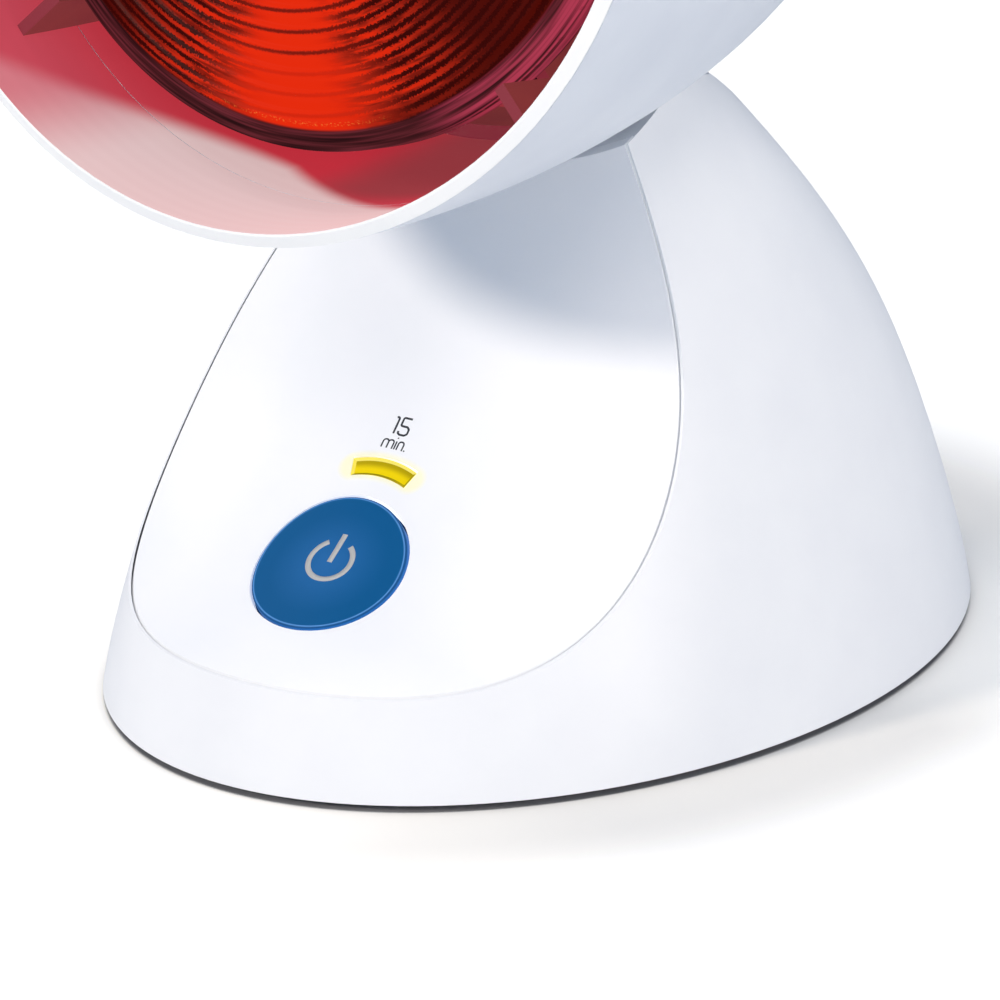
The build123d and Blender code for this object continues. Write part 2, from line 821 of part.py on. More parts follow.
def make_shade_shell():
    """Moulded shade with a rebate for the rim ring, the hinge slot and the strap's bosses."""
    profile = (shade_outline(0) - shade_outline(shade_wall)) & band(-shade_depth, 0)
    profile = profile - (shade_outline(rim_leaf) & band(-rim_lip_depth - rim_seam, 0))
    shell = turned(profile)
    inside_wall = turned(shade_outline(shade_wall / 2) & band(-shade_depth, 0))
    for side in (-1, 1):
        shell = shell + (strap_boss(side) & inside_wall)
        pilot = thread_hole(strap_screw, strap_wall / 2)
        shell = shell - Pos(side * strap_screw_x, 0, -strap_foot_depth) * pilot
    shell = shell - hinge_slot()
    for face in bracket_screw_faces():
        well = face * Pos(0, 0, -bracket_screw_well) * head_well(bracket_screw, 2 * shade_wall)
        shell = shell - face * pass_hole(bracket_screw, 2 * shade_wall) - well
    return in_head(shell)


def make_front_ring():
    """Bright rim ring, whose lip lines the mouth of the shade."""
    lip = (shade_outline(rim_leaf + rim_seam) - shade_outline(shade_wall)) & band(-rim_lip_depth, rim_seam)
    mouth = shade_outline_radius(0, shade_wall)
    edge = shade_outline_radius(0, 0)
    nose = Polygon(
        (mouth, rim_seam),
        (edge, rim_seam),
        (edge, 2 * rim_seam),
        (mouth + rim_land, rim_nose),
        (mouth, rim_nose),
        align=None,
    )
    return in_head(turned(lip + nose))


def lamp_bowl(inset):
    """Section of the lamp's bowl and neck, moved inwards by inset."""
    points = []
    for index in range(bowl_steps + 1):
        depth = bowl_front + (bowl_depth - bowl_front) * index / bowl_steps
        points.append((bowl_radius(depth) - inset, -depth))
    neck = (neck_radius - inset, -neck_depth)
    points[-1] = (neck_radius - inset, -bowl_depth)
    curve = Spline(*points)
    walls = Polyline(curve @ 1, neck, (0, -neck_depth), (0, points[0][1]), curve @ 0)
    return make_face(curve + walls)


def make_lamp_bowl():
    """Pressed glass reflector of the lamp, with its flange and neck."""
    top = -lamp_rim_depth - lens_flange - glass_gap
    flange = band(top - glass_flange, top, 0, lamp_rim_radius)
    hollow = band(top - glass_flange - glass_gap, top, 0, bowl_start_radius - glass_wall)
    profile = lamp_bowl(0) + flange - lamp_bowl(glass_wall) - hollow
    return in_head(turned(profile & band(-neck_depth, 0, axis_gap)))


def lens_arc(inset):
    """Section of the lens's crowned disc, moved inwards by inset."""
    half = lamp_rim_radius - lens_flange_width
    radius = (half**2 + lens_crown**2) / (2 * lens_crown)
    centre = -lamp_rim_depth + lens_crown - radius
    return Pos(0, centre) * Circle(radius - inset), radius, centre


def make_lamp_lens():
    """Crowned red lens with concentric rings and a flange that is fused to the bowl."""
    outer, radius, centre = lens_arc(0)
    inner = lens_arc(lens_wall)[0]
    half = lamp_rim_radius - lens_flange_width
    dish = (outer - inner) & band(-lamp_rim_depth - lens_flange, 0, 0, half)
    flange = band(-lamp_rim_depth - lens_flange, -lamp_rim_depth, half - lens_wall / 2, lamp_rim_radius)
    profile = dish + flange
    for index in range(lens_rings):
        r = lens_ring_first + index * lens_ring_pitch
        height = centre + sqrt(radius**2 - r**2)
        foot = height - lens_ring_sunk
        crest = height + lens_ring_height
        profile = profile + Polygon(
            (r - lens_ring_foot, foot), (r + lens_ring_foot, foot), (r, crest), align=None
        )
    return in_head(turned(profile & band(-bowl_front, 0)))


def make_lamp_cap():
    """Screw cap of the lamp with a rounded thread."""
    core = cap_radius - cap_thread_radius
    wall = core - cap_wall
    top = -neck_depth - glass_gap
    base = -neck_depth - cap_length
    profile = band(base, top, wall, core)
    profile = profile + band(top - cap_collar, top, wall, neck_radius - glass_wall / 2)
    profile = profile + band(base, base + cap_wall, cap_contact_radius + cap_ring, core)
    pitch = (cap_length - cap_plain) / cap_thread_turns
    for index in range(cap_thread_turns):
        height = top - cap_collar - (index + 0.5) * pitch
        profile = profile + Pos(core, height) * Circle(cap_thread_radius)
    return in_head(turned(profile))


def make_lamp_contact():
    """Insulated contact button at the end of the lamp's cap."""
    base = -neck_depth - cap_length
    disc = band(base, base + cap_wall, 0, cap_contact_radius + cap_ring - seat_gap)
    button = band(base - cap_contact_length, base, 0, cap_contact_radius)
    return in_head(turned(disc + button))


def make_lamp_cradle():
    """Ring in the shade with four blades that keep the lamp centred."""
    room = shade_outline(shade_wall + fin_seat_gap)
    ring = (room - shade_outline(shade_wall + fin_seat_gap + cradle_ring_wall))
    back = bracket_ends()[0] - cradle_bracket_gap
    cradle = turned(ring & band(-back, -back + cradle_ring_length))
    lamp_room = lamp_bowl(-fin_gap) + band(-bowl_front - fin_wall, 0, 0, lamp_rim_radius + fin_gap)
    blade_room = shade_outline(shade_wall + fin_root_gap)
    blade = (blade_room & band(-back + cradle_ring_length / 2, -fin_front)) - lamp_room
    blade = extrude(Plane.XZ * blade, fin_wall / 2, both=True)
    for index in range(fin_count):
        cradle = cradle + Rot(0, 0, 45 + 360 / fin_count * index) * blade
    return in_head(cradle)


def make_lampholder():
    """Ceramic screw lampholder."""
    well_radius = cap_radius + holder_clearance
    body = band(-holder_back, -holder_front, 0, holder_radius)
    step = band(-holder_back, -holder_back + holder_foot, holder_radius - holder_foot_step)
    well_end = neck_depth + cap_length + cap_contact_length + seat_gap
    mouth_end = neck_depth + cap_collar + holder_clearance
    mouth = band(-mouth_end, -holder_front, 0, neck_radius + holder_clearance)
    well = band(-well_end, -holder_front, 0, well_radius)
    groove_front = -holder_front - holder_groove_depth
    groove = band(groove_front - holder_groove, groove_front, holder_radius - holder_groove / 2)
    holder = turned(body - step - well - mouth - groove)
    for side in (-1, 1):
        pilot = thread_hole(holder_screw, strap_wall)
        holder = holder - Pos(side * holder_screw_x, 0, -holder_back) * pilot
    return in_head(holder)


def make_holder_strap():
    """Bent steel strap that carries the lampholder and takes the rear cover's screws."""
    back = holder_back + strap_seat_gap + strap_wall / 2
    path = FilletPolyline(
        (strap_foot_x, -strap_foot_depth),
        (strap_half_span, -strap_foot_depth),
        (strap_half_span, -back),
        (-strap_half_span, -back),
        (-strap_half_span, -strap_foot_depth),
        (-strap_foot_x, -strap_foot_depth),
        radius=strap_bend,
    )
    strap = extrude(Plane.XZ * trace(path, strap_wall), strap_width / 2, both=True)
    for side in (-1, 1):
        strap = strap - Pos(side * strap_screw_x, 0, -strap_foot_depth) * pass_hole(strap_screw, strap_wall)
        strap = strap - Pos(side * holder_screw_x, 0, -back) * pass_hole(holder_screw, strap_wall)
        cover_hole = Cylinder(cover_screw.shank + thread_gap, 2 * strap_wall)
        strap = strap - Pos(side * cover_screw_x, 0, -back) * cover_hole
    room = turned(shade_outline(shade_wall + cover_gap) & band(-cover_back, 0))
    rear_room = turned(band(-cover_back, -strap_foot_depth - strap_wall, 0, strap_half_span + strap_bend))
    return in_head(strap & (room + rear_room))


def make_holder_screws():
    """Two screws that hold the lampholder to its strap."""
    screws = []
    for side in (-1, 1):
        place = Pos(side * holder_screw_x, 0, -holder_back - strap_wall - strap_seat_gap)
        screws.append(in_head(place * Rot(180, 0, 0) * pan_screw(holder_screw)))
    return Compound(children=screws)


def make_strap_screws():
    """Two screws that hold the strap's feet to the shade's bosses."""
    screws = []
    for side in (-1, 1):
        place = Pos(side * strap_screw_x, 0, -strap_foot_depth - strap_wall / 2)
        screws.append(in_head(place * Rot(180, 0, 0) * pan_screw(strap_screw)))
    return Compound(children=screws)


def make_rear_cover():
    """Ventilated rear cover with tapered side slots, slots in its back, and screw pillars."""
    outer = cover_outline(0)
    inner = Polygon(
        (0, -shade_depth),
        (cover_front_radius - cover_wall, -shade_depth),
        (cover_back_radius - cover_wall, -cover_back + cover_wall),
        (0, -cover_back + cover_wall),
        align=None,
    )
    corner = inner.vertices().sort_by(Axis.Y)[:2].sort_by(Axis.X)[-1]
    inner = fillet(corner, cover_corner - cover_wall)
    opening = shade_outline_radius(shade_depth, shade_wall)
    spigot_outer = opening - cover_gap
    spigot = band(
        -shade_depth - cover_wall, -shade_depth + cover_spigot_length,
        spigot_outer - cover_spigot_wall, spigot_outer
    )
    shell = turned((outer & band(-cover_back, -shade_depth - cover_seam)) - inner + spigot)
    slot_front = shade_depth + cover_slot_front_margin
    slot_back = cover_back - cover_slot_rear_margin
    slot = extrude(SlotOverall(slot_back - slot_front, cover_slot_width), cover_back_radius)
    slot_place = Pos(cover_back_radius - cover_corner, 0, -(slot_front + slot_back) / 2) * Rot(0, 90, 0)
    for index in range(cover_slots):
        shell = shell - Rot(0, 0, 360 / cover_slots * (index + 0.5)) * slot_place * slot
    back_length = cover_back_slot_end - cover_back_slot_start
    back_slot = SlotOverall(back_length, cover_back_slot_width)
    back_slot = extrude(back_slot, 2 * cover_wall, both=True)
    back_place = Pos(cover_back_slot_start + back_length / 2, 0, -cover_back)
    for index in range(cover_back_slots):
        shell = shell - Rot(0, 0, 360 / cover_back_slots * (index + 0.5)) * back_place * back_slot
    for side in (-1, 1):
        front = holder_back + strap_seat_gap + strap_wall + seat_gap
        pillar = Cylinder(cover_pillar_radius, cover_back - front - cover_wall / 2, align=HANGING)
        shell = shell + Pos(side * cover_screw_x, 0, -front) * pillar
        place = Pos(side * cover_screw_x, 0, -cover_back)
        shell = shell - place * head_well(cover_screw, cover_screw_well)
        shell = shell - place * pass_hole(cover_screw, cover_room)
    return in_head(shell)


def make_cover_screws():
    """Two screws that reach from the cover's wells into the strap."""
    screws = []
    for side in (-1, 1):
        place = Pos(side * cover_screw_x, 0, -cover_back + cover_screw_well)
        screws.append(in_head(place * Rot(180, 0, 0) * pan_screw(cover_screw)))
    return Compound(children=screws)


def make_hinge_bracket():
    """Cast bracket that lies against the inside of the shade and holds the pin in two cheeks."""
    front, rear = bracket_ends()
    seat = shade_wall + fin_seat_gap
    lining = (shade_outline(seat) - shade_outline(seat + bracket_wall)) & band(-rear, -front)
    below = (Align.CENTER, Align.MAX, Align.MAX)
    sector = Box(2 * bracket_half_width, shade_radius, 2 * shade_depth, align=below)
    plate = turned(lining) & sector
    cheek = Box(cheek_wall, shade_radius, 2 * cheek_half_depth, align=(Align.MIN, Align.MAX, Align.CENTER))
    cheek = cheek + Rot(0, 90, 0) * Cylinder(cheek_half_depth, cheek_wall, align=UPRIGHT)
    cheek = Pos(cheek_inner_x, -pivot_drop, -pivot_depth) * cheek
    cheeks = (cheek + mirror(cheek, Plane.YZ)) & turned(shade_outline(seat) & band(-rear, 0))
    bore = Cylinder(pin_radius + pin_seat_gap, 3 * cheek_outer_x)
    bore = Pos(0, -pivot_drop, -pivot_depth) * Rot(0, 90, 0) * bore
    bracket = plate + cheeks - bore - hinge_slot()
    for face in bracket_screw_faces():
        bracket = bracket - face * Cylinder(bracket_screw.shank + thread_gap, 4 * bracket_wall)
    return in_head(bracket)


def make_bracket_screws():
    """Four sunk screws that hold the bracket to the shade from below."""
    screws = []
    for face in bracket_screw_faces():
        place = face * Pos(0, 0, -bracket_screw_well)
        screws.append(in_head(place * pan_screw(bracket_screw)))
    return Compound(children=screws)


def make_hinge_pin():
    """Pin with a domed head, threaded for the lock nut at its other end."""
    head = Cylinder(pin_head_radius, pin_head_height, align=UPRIGHT)
    head = fillet(head.edges().group_by(Axis.Z)[-1], pin_head_height * 0.45)
    shank = Cylinder(pin_radius, 2 * cheek_outer_x + nut_height + pin_tail, align=HANGING)
    place = Pos(cheek_outer_x + thread_gap, -pivot_drop, -pivot_depth) * Rot(0, 90, 0)
    return in_head(place * (head + shank))


def make_hinge_nut():
    """Lock nut that holds the cheeks and washers against the post."""
    nut = extrude(RegularPolygon(nut_radius, 6), nut_height)
    nut = nut - Cylinder(pin_radius + pin_seat_gap, 3 * nut_height)
    place = Pos(-cheek_outer_x - thread_gap, -pivot_drop, -pivot_depth) * Rot(0, -90, 0)
    return in_head(place * nut)


def make_friction_washers():
    """Two washers between the post's eye and the bracket's cheeks."""
    washers = []
    for side in (-1, 1):
        washer = Cylinder(washer_radius, washer_wall) - Cylinder(pin_radius + washer_gap, 2 * washer_wall)
        x = side * (post_half_width + washer_gap + washer_wall / 2)
        washers.append(in_head(Pos(x, -pivot_drop, -pivot_depth) * Rot(0, 90, 0) * washer))
    return Compound(children=washers)


# ================================================================ all nodes
makers = {
    "base_shell": make_base_shell,
    "front_panel": make_front_panel,
    "indicator_window": make_indicator_window,
    "power_button": make_power_button,
    "switch_plunger": make_switch_plunger,
    "switch_body": make_switch_body,
    "indicator_light": make_indicator_light,
    "switch_board": make_switch_board,
    "switch_board_screws": make_switch_board_screws,
    "bottom_plate": make_bottom_plate,
    "bottom_screws": make_bottom_screws,
    "rubber_feet": make_rubber_feet,
    "power_board": make_power_board,
    "power_board_screws": make_power_board_screws,
    "relay": make_relay,
    "transformer_core": make_transformer_core,
    "transformer_winding": make_transformer_winding,
    "filter_capacitor": make_filter_capacitor,
    "terminal_block": make_terminal_block,
    "fuse": make_fuse,
    "cord_grommet": make_cord_grommet,
    "hinge_post": make_hinge_post,
    "post_screws": make_post_screws,
    "shade_shell": make_shade_shell,
    "front_ring": make_front_ring,
    "lamp_bowl": make_lamp_bowl,
    "lamp_lens": make_lamp_lens,
    "lamp_cap": make_lamp_cap,
    "lamp_contact": make_lamp_contact,
    "lamp_cradle": make_lamp_cradle,
    "lampholder": make_lampholder,
    "holder_strap": make_holder_strap,
    "holder_screws": make_holder_screws,
    "strap_screws": make_strap_screws,
    "rear_cover": make_rear_cover,
    "cover_screws": make_cover_screws,
    "hinge_bracket": make_hinge_bracket,
    "bracket_screws": make_bracket_screws,
    "hinge_pin": make_hinge_pin,
    "hinge_nut": make_hinge_nut,
    "friction_washers": make_friction_washers,
}


def finish(shape):
    """The shape lifted so that the feet stand on z = 0."""
    return Pos(0, 0, foot_proud) * shape


os.makedirs("parts", exist_ok=True)
for name, maker in makers.items():
    export_step(finish(maker()), f"parts/{name}.step")
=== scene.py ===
"""Infrared heat therapy lamp: its finishes, printed marks, pressed lens, studio and camera."""

import logging
import math
from dataclasses import dataclass
from enum import Enum
from typing import Any, NamedTuple

import bpy
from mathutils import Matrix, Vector


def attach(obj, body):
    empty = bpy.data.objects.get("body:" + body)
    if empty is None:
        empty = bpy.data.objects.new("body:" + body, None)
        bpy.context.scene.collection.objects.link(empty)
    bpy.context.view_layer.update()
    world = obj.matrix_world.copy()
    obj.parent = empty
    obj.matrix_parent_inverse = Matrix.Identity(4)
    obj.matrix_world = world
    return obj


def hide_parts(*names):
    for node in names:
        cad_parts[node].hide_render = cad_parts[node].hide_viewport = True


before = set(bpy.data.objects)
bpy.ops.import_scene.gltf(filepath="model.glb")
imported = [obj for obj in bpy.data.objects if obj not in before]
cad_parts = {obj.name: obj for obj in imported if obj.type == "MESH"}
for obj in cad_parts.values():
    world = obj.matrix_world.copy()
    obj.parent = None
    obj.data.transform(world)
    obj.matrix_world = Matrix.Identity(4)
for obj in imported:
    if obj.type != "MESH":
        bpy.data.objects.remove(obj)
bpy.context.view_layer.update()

log = logging.getLogger("heat_lamp")
MM = 0.001
WHITE = "#FFFFFF"
Point = tuple[float, float]
Triple = tuple[float, float, float]
Strokes = tuple[tuple[Point, ...], ...]
Inputs = dict[Any, Any]
# Where a share is 0 and where it is 1.
Span = tuple[float, float]


class Body(Enum):
    """The bodies that a piece can ride on."""

    BASE = "base"
    BUTTON = "button"
    HEAD = "head"


# ---------------------------------------------------------------- node graphs


def linear(hex_colour: str) -> tuple[float, float, float, float]:
    """Turns an sRGB hex value into linear light.

    Args:
        hex_colour: The colour as "#RRGGBB".

    Returns:
        Red, green, blue and an alpha of 1.
    """
    values = []
    for start in (1, 3, 5):
        share = int(hex_colour[start : start + 2], 16) / 255
        values.append(share / 12.92 if share <= 0.04045 else ((share + 0.055) / 1.055) ** 2.4)
    return values[0], values[1], values[2], 1.0


@dataclass(frozen=True)
class Graph:
    """A shader, world or geometry node tree that is being drawn."""

    tree: bpy.types.NodeTree

    @classmethod
    def of(cls, owner: bpy.types.Material | bpy.types.World) -> "Graph":
        """Empties the node tree of a new material or world.

        Args:
            owner: The material or the world.

        Returns:
            Its tree, ready to be drawn.
        """
        owner.use_nodes = True
        owner.node_tree.nodes.clear()
        return cls(owner.node_tree)

    def add(
        self,
        kind: str,
        inputs: Inputs | None = None,
        settings: dict[str, Any] | None = None,
        output: int | str = 0,
    ) -> "Signal":
        """Adds a node with its input values, its links and its settings.

        Args:
            kind: The node's Blender type name.
            inputs: A value, an sRGB hex colour, a signal or a list of signals for each input socket.
            settings: Attributes of the node. Those of a colour ramp are its stops in rising order, each a
                place and an sRGB hex colour.
            output: The output socket that is returned.

        Returns:
            The node's output as a signal.
        """
        node = self.tree.nodes.new(kind)
        for name, value in (settings or {}).items():
            if name != "color_ramp":
                setattr(node, name, value)
                continue
            for index, (place, hex_colour) in enumerate(value):
                stop = node.color_ramp.elements[index] if index < 2 else node.color_ramp.elements.new(place)
                stop.position = place
                stop.color = linear(hex_colour)
        for name, value in (inputs or {}).items():
            if isinstance(value, (Signal, list)):
                for signal in value if isinstance(value, list) else [value]:
                    self.tree.links.new(signal.socket, node.inputs[name])
            else:
                node.inputs[name].default_value = linear(value) if isinstance(value, str) else value
        return Signal(self, node.outputs[output] if node.outputs else None)


class StepNode(NamedTuple):
    """The node behind a step: its settings, its type, its input sockets in order and its output socket."""

    settings: dict[str, str]
    kind: str = "ShaderNodeMath"
    sockets: tuple[int | str, ...] = (0, 1)
    output: int | str = 0


class Step(Enum):
    """The steps that a formula is made of."""

    ADD = StepNode({"operation": "ADD"})
    SUBTRACT = StepNode({"operation": "SUBTRACT"})
    TAKE_FROM = StepNode({"operation": "SUBTRACT"}, sockets=(1, 0))
    MULTIPLY = StepNode({"operation": "MULTIPLY"})
    DIVIDE = StepNode({"operation": "DIVIDE"})
    POWER = StepNode({"operation": "POWER"})
    MAXIMUM = StepNode({"operation": "MAXIMUM"})
    MINIMUM = StepNode({"operation": "MINIMUM"})
    LESS_THAN = StepNode({"operation": "LESS_THAN"})
    SQRT = StepNode({"operation": "SQRT"})
    ABSOLUTE = StepNode({"operation": "ABSOLUTE"})
    FRACT = StepNode({"operation": "FRACT"})
    SINE = StepNode({"operation": "SINE"})
    COSINE = StepNode({"operation": "COSINE"})
    ARCTAN2 = StepNode({"operation": "ARCTAN2"})
    # From one range smoothly to another, which is 0 to 1 if it isn't given.
    SPREAD = StepNode(
        {"interpolation_type": "SMOOTHSTEP"},
        "ShaderNodeMapRange",
        ("Value", "From Min", "From Max", "To Min", "To Max"),
    )
    # From a first colour to a second, by the second one's share.
    BLEND = StepNode({"data_type": "RGBA"}, "ShaderNodeMix", (0, 6, 7), 2)
    # From a first colour to its product with a second.
    DARKEN = StepNode({"data_type": "RGBA", "blend_type": "MULTIPLY"}, "ShaderNodeMix", (0, 6, 7), 2)
    # From a share to the colour at that place among the stops.
    RAMP = StepNode({}, "ShaderNodeValToRGB", ("Fac",), "Color")


@dataclass(frozen=True)
class Signal:
    """One output of a node. A formula written with signals adds a node for each of its steps."""

    graph: Graph
    socket: bpy.types.NodeSocket | None

    def __getitem__(self, output: str) -> "Signal":
        """Another output of the same node."""
        return Signal(self.graph, self.socket.node.outputs[output])

    def to(self, step: Step, *others: Any, **settings: Any) -> "Signal":
        """Takes a step of a formula from this signal.

        Args:
            step: The step.
            others: What goes into the step's other inputs, in order.
            settings: More settings of its node.

        Returns:
            The step's output.
        """
        node = step.value
        inputs = dict(zip(node.sockets, (self, *others)))
        return self.graph.add(node.kind, inputs, {**node.settings, **settings}, node.output)

    def __add__(self, other: "Signal | float") -> "Signal":
        """Sum with another signal or a number."""
        return self.to(Step.ADD, other)

    def __sub__(self, other: "Signal | float") -> "Signal":
        """What is left without another signal or a number."""
        return self.to(Step.SUBTRACT, other)

    def __rsub__(self, other: float) -> "Signal":
        """What is left of a number without this signal."""
        return self.to(Step.TAKE_FROM, other)

    def __mul__(self, other: "Signal | float") -> "Signal":
        """Product with another signal or a number."""
        return self.to(Step.MULTIPLY, other)

    def __truediv__(self, other: "Signal | float") -> "Signal":
        """Ratio to another signal or a number."""
        return self.to(Step.DIVIDE, other)


class Parts(NamedTuple):
    """The three parts of a point or a direction in a local frame."""

    x: Signal
    y: Signal
    z: Signal

    def radius(self) -> Signal:
        """Distance from the local Z axis."""
        return (self.x * self.x + self.y * self.y).to(Step.SQRT)

    def angle(self) -> Signal:
        """Angle about the local Z axis in radians, from the local X axis."""
        return self.y.to(Step.ARCTAN2, self.x)

    def toward(self, angle: float) -> Signal:
        """Cosine of the angle about the local Z axis between the point and a direction in degrees."""
        return (self.angle() - math.radians(angle)).to(Step.COSINE)


# ---------------------------------------------------------------- places on the lamp


@dataclass(frozen=True)
class Place:
    """A local frame turned about X: its origin in millimetres and its turn in degrees."""

    origin: Triple
    turn: float

    def split(self, vector: Signal) -> Parts:
        """Splits a vector signal into its parts."""
        parts = vector.graph.add("ShaderNodeSeparateXYZ", {0: vector})
        return Parts(parts["X"], parts["Y"], parts["Z"])

    def point(self, graph: Graph) -> Parts:
        """The shaded point in the local frame, in millimetres.

        Args:
            graph: The shader.

        Returns:
            The point's three parts.
        """
        coordinates = graph.add("ShaderNodeTexCoord", output="Object")
        inputs = {
            "Vector": coordinates,
            "Location": Vector(self.origin) * MM,
            "Rotation": (math.radians(self.turn), 0.0, 0.0),
            "Scale": (MM, MM, MM),
        }
        return self.split(graph.add("ShaderNodeMapping", inputs, {"vector_type": "TEXTURE"}))

    def facing(self, graph: Graph) -> Parts:
        """The way the shaded surface faces, in the local frame.

        Args:
            graph: The shader.

        Returns:
            The direction's three parts.
        """
        normal = graph.add("ShaderNodeTexCoord", output="Normal")
        inputs = {"Vector": normal, "Angle": -math.radians(self.turn)}
        return self.split(graph.add("ShaderNodeVectorRotate", inputs, {"rotation_type": "X_AXIS"}))


@dataclass(frozen=True)
class Sweep:
    """The front panel's surface in millimetres: a concave sweep with a gentle crown."""

    radius: float = 129.6
    centre_y: float = -134.6
    centre_z: float = 136.6
    crown: float = 92.5

    def point(self, x: float, arc: float, lift: float) -> Vector:
        """Finds a point on the surface.

        Args:
            x: Distance from the middle plane.
            arc: Distance along the sweep from its lowest line.
            lift: Height above the surface.

        Returns:
            The point in the lamp's frame, in millimetres.
        """
        angle = arc / self.radius
        reach = self.radius - lift
        drop = self.crown - math.sqrt(self.crown**2 - x**2)
        y = self.centre_y + reach * math.sin(angle)
        return Vector((x, y, self.centre_z - drop - reach * math.cos(angle)))


SWEEP = Sweep()
LAMP_PLACE = Place((0.0, 0.0, 0.0), 0.0)
BUTTON_ARC = 79.1
BUTTON_PLACE = Place(tuple(SWEEP.point(0, BUTTON_ARC, 0)), math.degrees(BUTTON_ARC / SWEEP.radius))
HEAD_TILT = 9.64
HEAD_PLACE = Place((0.0, -77.2, 166.2), 90 - HEAD_TILT)
WINDOW_MIDDLE = 19.45
WINDOW_HALF_ANGLE = 17.5


# ---------------------------------------------------------------- finishes


@dataclass(frozen=True)
class Finish:
    """A plain finish: one colour with a faint cloud of a second, under a fine grain.

    Its sizes are in millimetres.
    """

    name: str
    colour: str
    cloud: str
    roughness: float = 0.4
    metallic: float = 0.0
    cloud_size: float = 18.0
    cloud_span: Span = (0.3, 0.7)
    grain_size: float = 0.6
    grain_depth: float = 0.004
    coat: float = 0.0
    specular: float = 0.5

    def material(self) -> bpy.types.Material:
        """Builds the material once and returns it.

        Returns:
            The material, which every later call returns as well.
        """
        found = bpy.data.materials.get(self.name)
        if found:
            return found
        made = bpy.data.materials.new(self.name)
        graph = Graph.of(made)
        inputs = {
            "Metallic": self.metallic,
            "Roughness": self.roughness,
            "Specular IOR Level": self.specular,
            "Coat Weight": self.coat,
            "Normal": self.relief(graph),
            **self.look(graph),
        }
        shader = graph.add("ShaderNodeBsdfPrincipled", inputs)
        graph.add("ShaderNodeOutputMaterial", {"Surface": shader})
        return made

    def mottle(
        self, graph: Graph, size: float, detail: float = 2.0, stretch: Triple = (1.0, 1.0, 1.0)
    ) -> Signal:
        """Mottles the surface in the object's own space.

        Args:
            graph: The shader.
            size: Size of the blots in millimetres.
            detail: How much finer mottling they carry.
            stretch: How much denser they are along each axis.

        Returns:
            A share that stays mostly between 0.3 and 0.7.
        """
        coordinates = graph.add("ShaderNodeTexCoord", output="Object")
        place = graph.add("ShaderNodeMapping", {"Vector": coordinates, "Scale": stretch})
        inputs = {"Vector": place, "Scale": 1 / (size * MM), "Detail": detail}
        return graph.add("ShaderNodeTexNoise", inputs)

    def base(self, graph: Graph) -> Signal:
        """The slow mix of the two colours."""
        stops = tuple(zip(self.cloud_span, (self.colour, self.cloud)))
        return self.mottle(graph, self.cloud_size, 3.0).to(Step.RAMP, color_ramp=stops)

    def look(self, graph: Graph) -> Inputs:
        """Inputs of the shader that make the finish's colour."""
        return {"Base Color": self.base(graph)}

    def relief(self, graph: Graph) -> Signal:
        """The normal under the finish's grain."""
        inputs = {"Height": self.mottle(graph, self.grain_size), "Distance": self.grain_depth * MM}
        return graph.add("ShaderNodeBump", {**inputs, "Strength": 1.0})


@dataclass(frozen=True)
class DrawnMetal(Finish):
    """Rolled, drawn or turned metal, with fine lines along one axis."""

    metallic: float = 1.0
    stretch: Triple = (0.1, 1.0, 1.0)
    gloss_swing: float = 0.08

    def look(self, graph: Graph) -> Inputs:
        """The metal's colour, and the gloss that changes from line to line.

        Args:
            graph: The shader.

        Returns:
            Inputs of the shader.
        """
        lines = self.mottle(graph, self.grain_size, 4.0, self.stretch)
        swing = (self.roughness - self.gloss_swing, self.roughness + self.gloss_swing)
        return {"Base Color": self.base(graph), "Roughness": lines.to(Step.SPREAD, *self.cloud_span, *swing)}


@dataclass(frozen=True)
class LitPanel(Finish):
    """Smooth moulded panel with the indicator's yellow light painted around its window, and painted light in
    its edge faces.
    """

    glow: str = "#FFFCDA"
    glow_start: float = 1.7
    glow_end: float = 3.1
    edge_glow: float = 0.48
    edge_span: Span = (0.5, 0.2)
    left_gain: float = 2.6
    left_span: Span = (0.2, -0.4)

    def look(self, graph: Graph) -> Inputs:
        """Mixes the painted glow into the white by the distance from the window, and lights the edge faces
        with painted light.

        Args:
            graph: The shader.

        Returns:
            Inputs of the shader.
        """
        # Painted light: the indicator's yellow light on the panel, strongest by the window.
        point = BUTTON_PLACE.point(graph)
        across = point.radius() - WINDOW_MIDDLE
        turned = (point.angle() - math.pi / 2).to(Step.ABSOLUTE) - math.radians(WINDOW_HALF_ANGLE)
        along = turned.to(Step.MAXIMUM, 0.0) * WINDOW_MIDDLE
        distance = (across * across + along * along).to(Step.SQRT)
        glow = distance.to(Step.SPREAD, self.glow_start, self.glow_end, 1.0, 0.0)
        # Painted light in the seams: the edge faces emit the white, more on those that look left.
        spot, facing = LAMP_PLACE.point(graph), LAMP_PLACE.facing(graph)
        upright = facing.y * (SWEEP.centre_y - spot.y) + facing.z * (SWEEP.centre_z - spot.z)
        edge = (upright / SWEEP.radius).to(Step.ABSOLUTE).to(Step.SPREAD, *self.edge_span)
        gain = facing.x.to(Step.SPREAD, *self.left_span, 1.0, self.left_gain)
        white = self.base(graph)
        return {
            "Base Color": glow.to(Step.BLEND, white, self.glow),
            "Emission Color": white,
            "Emission Strength": edge * gain * self.edge_glow,
        }


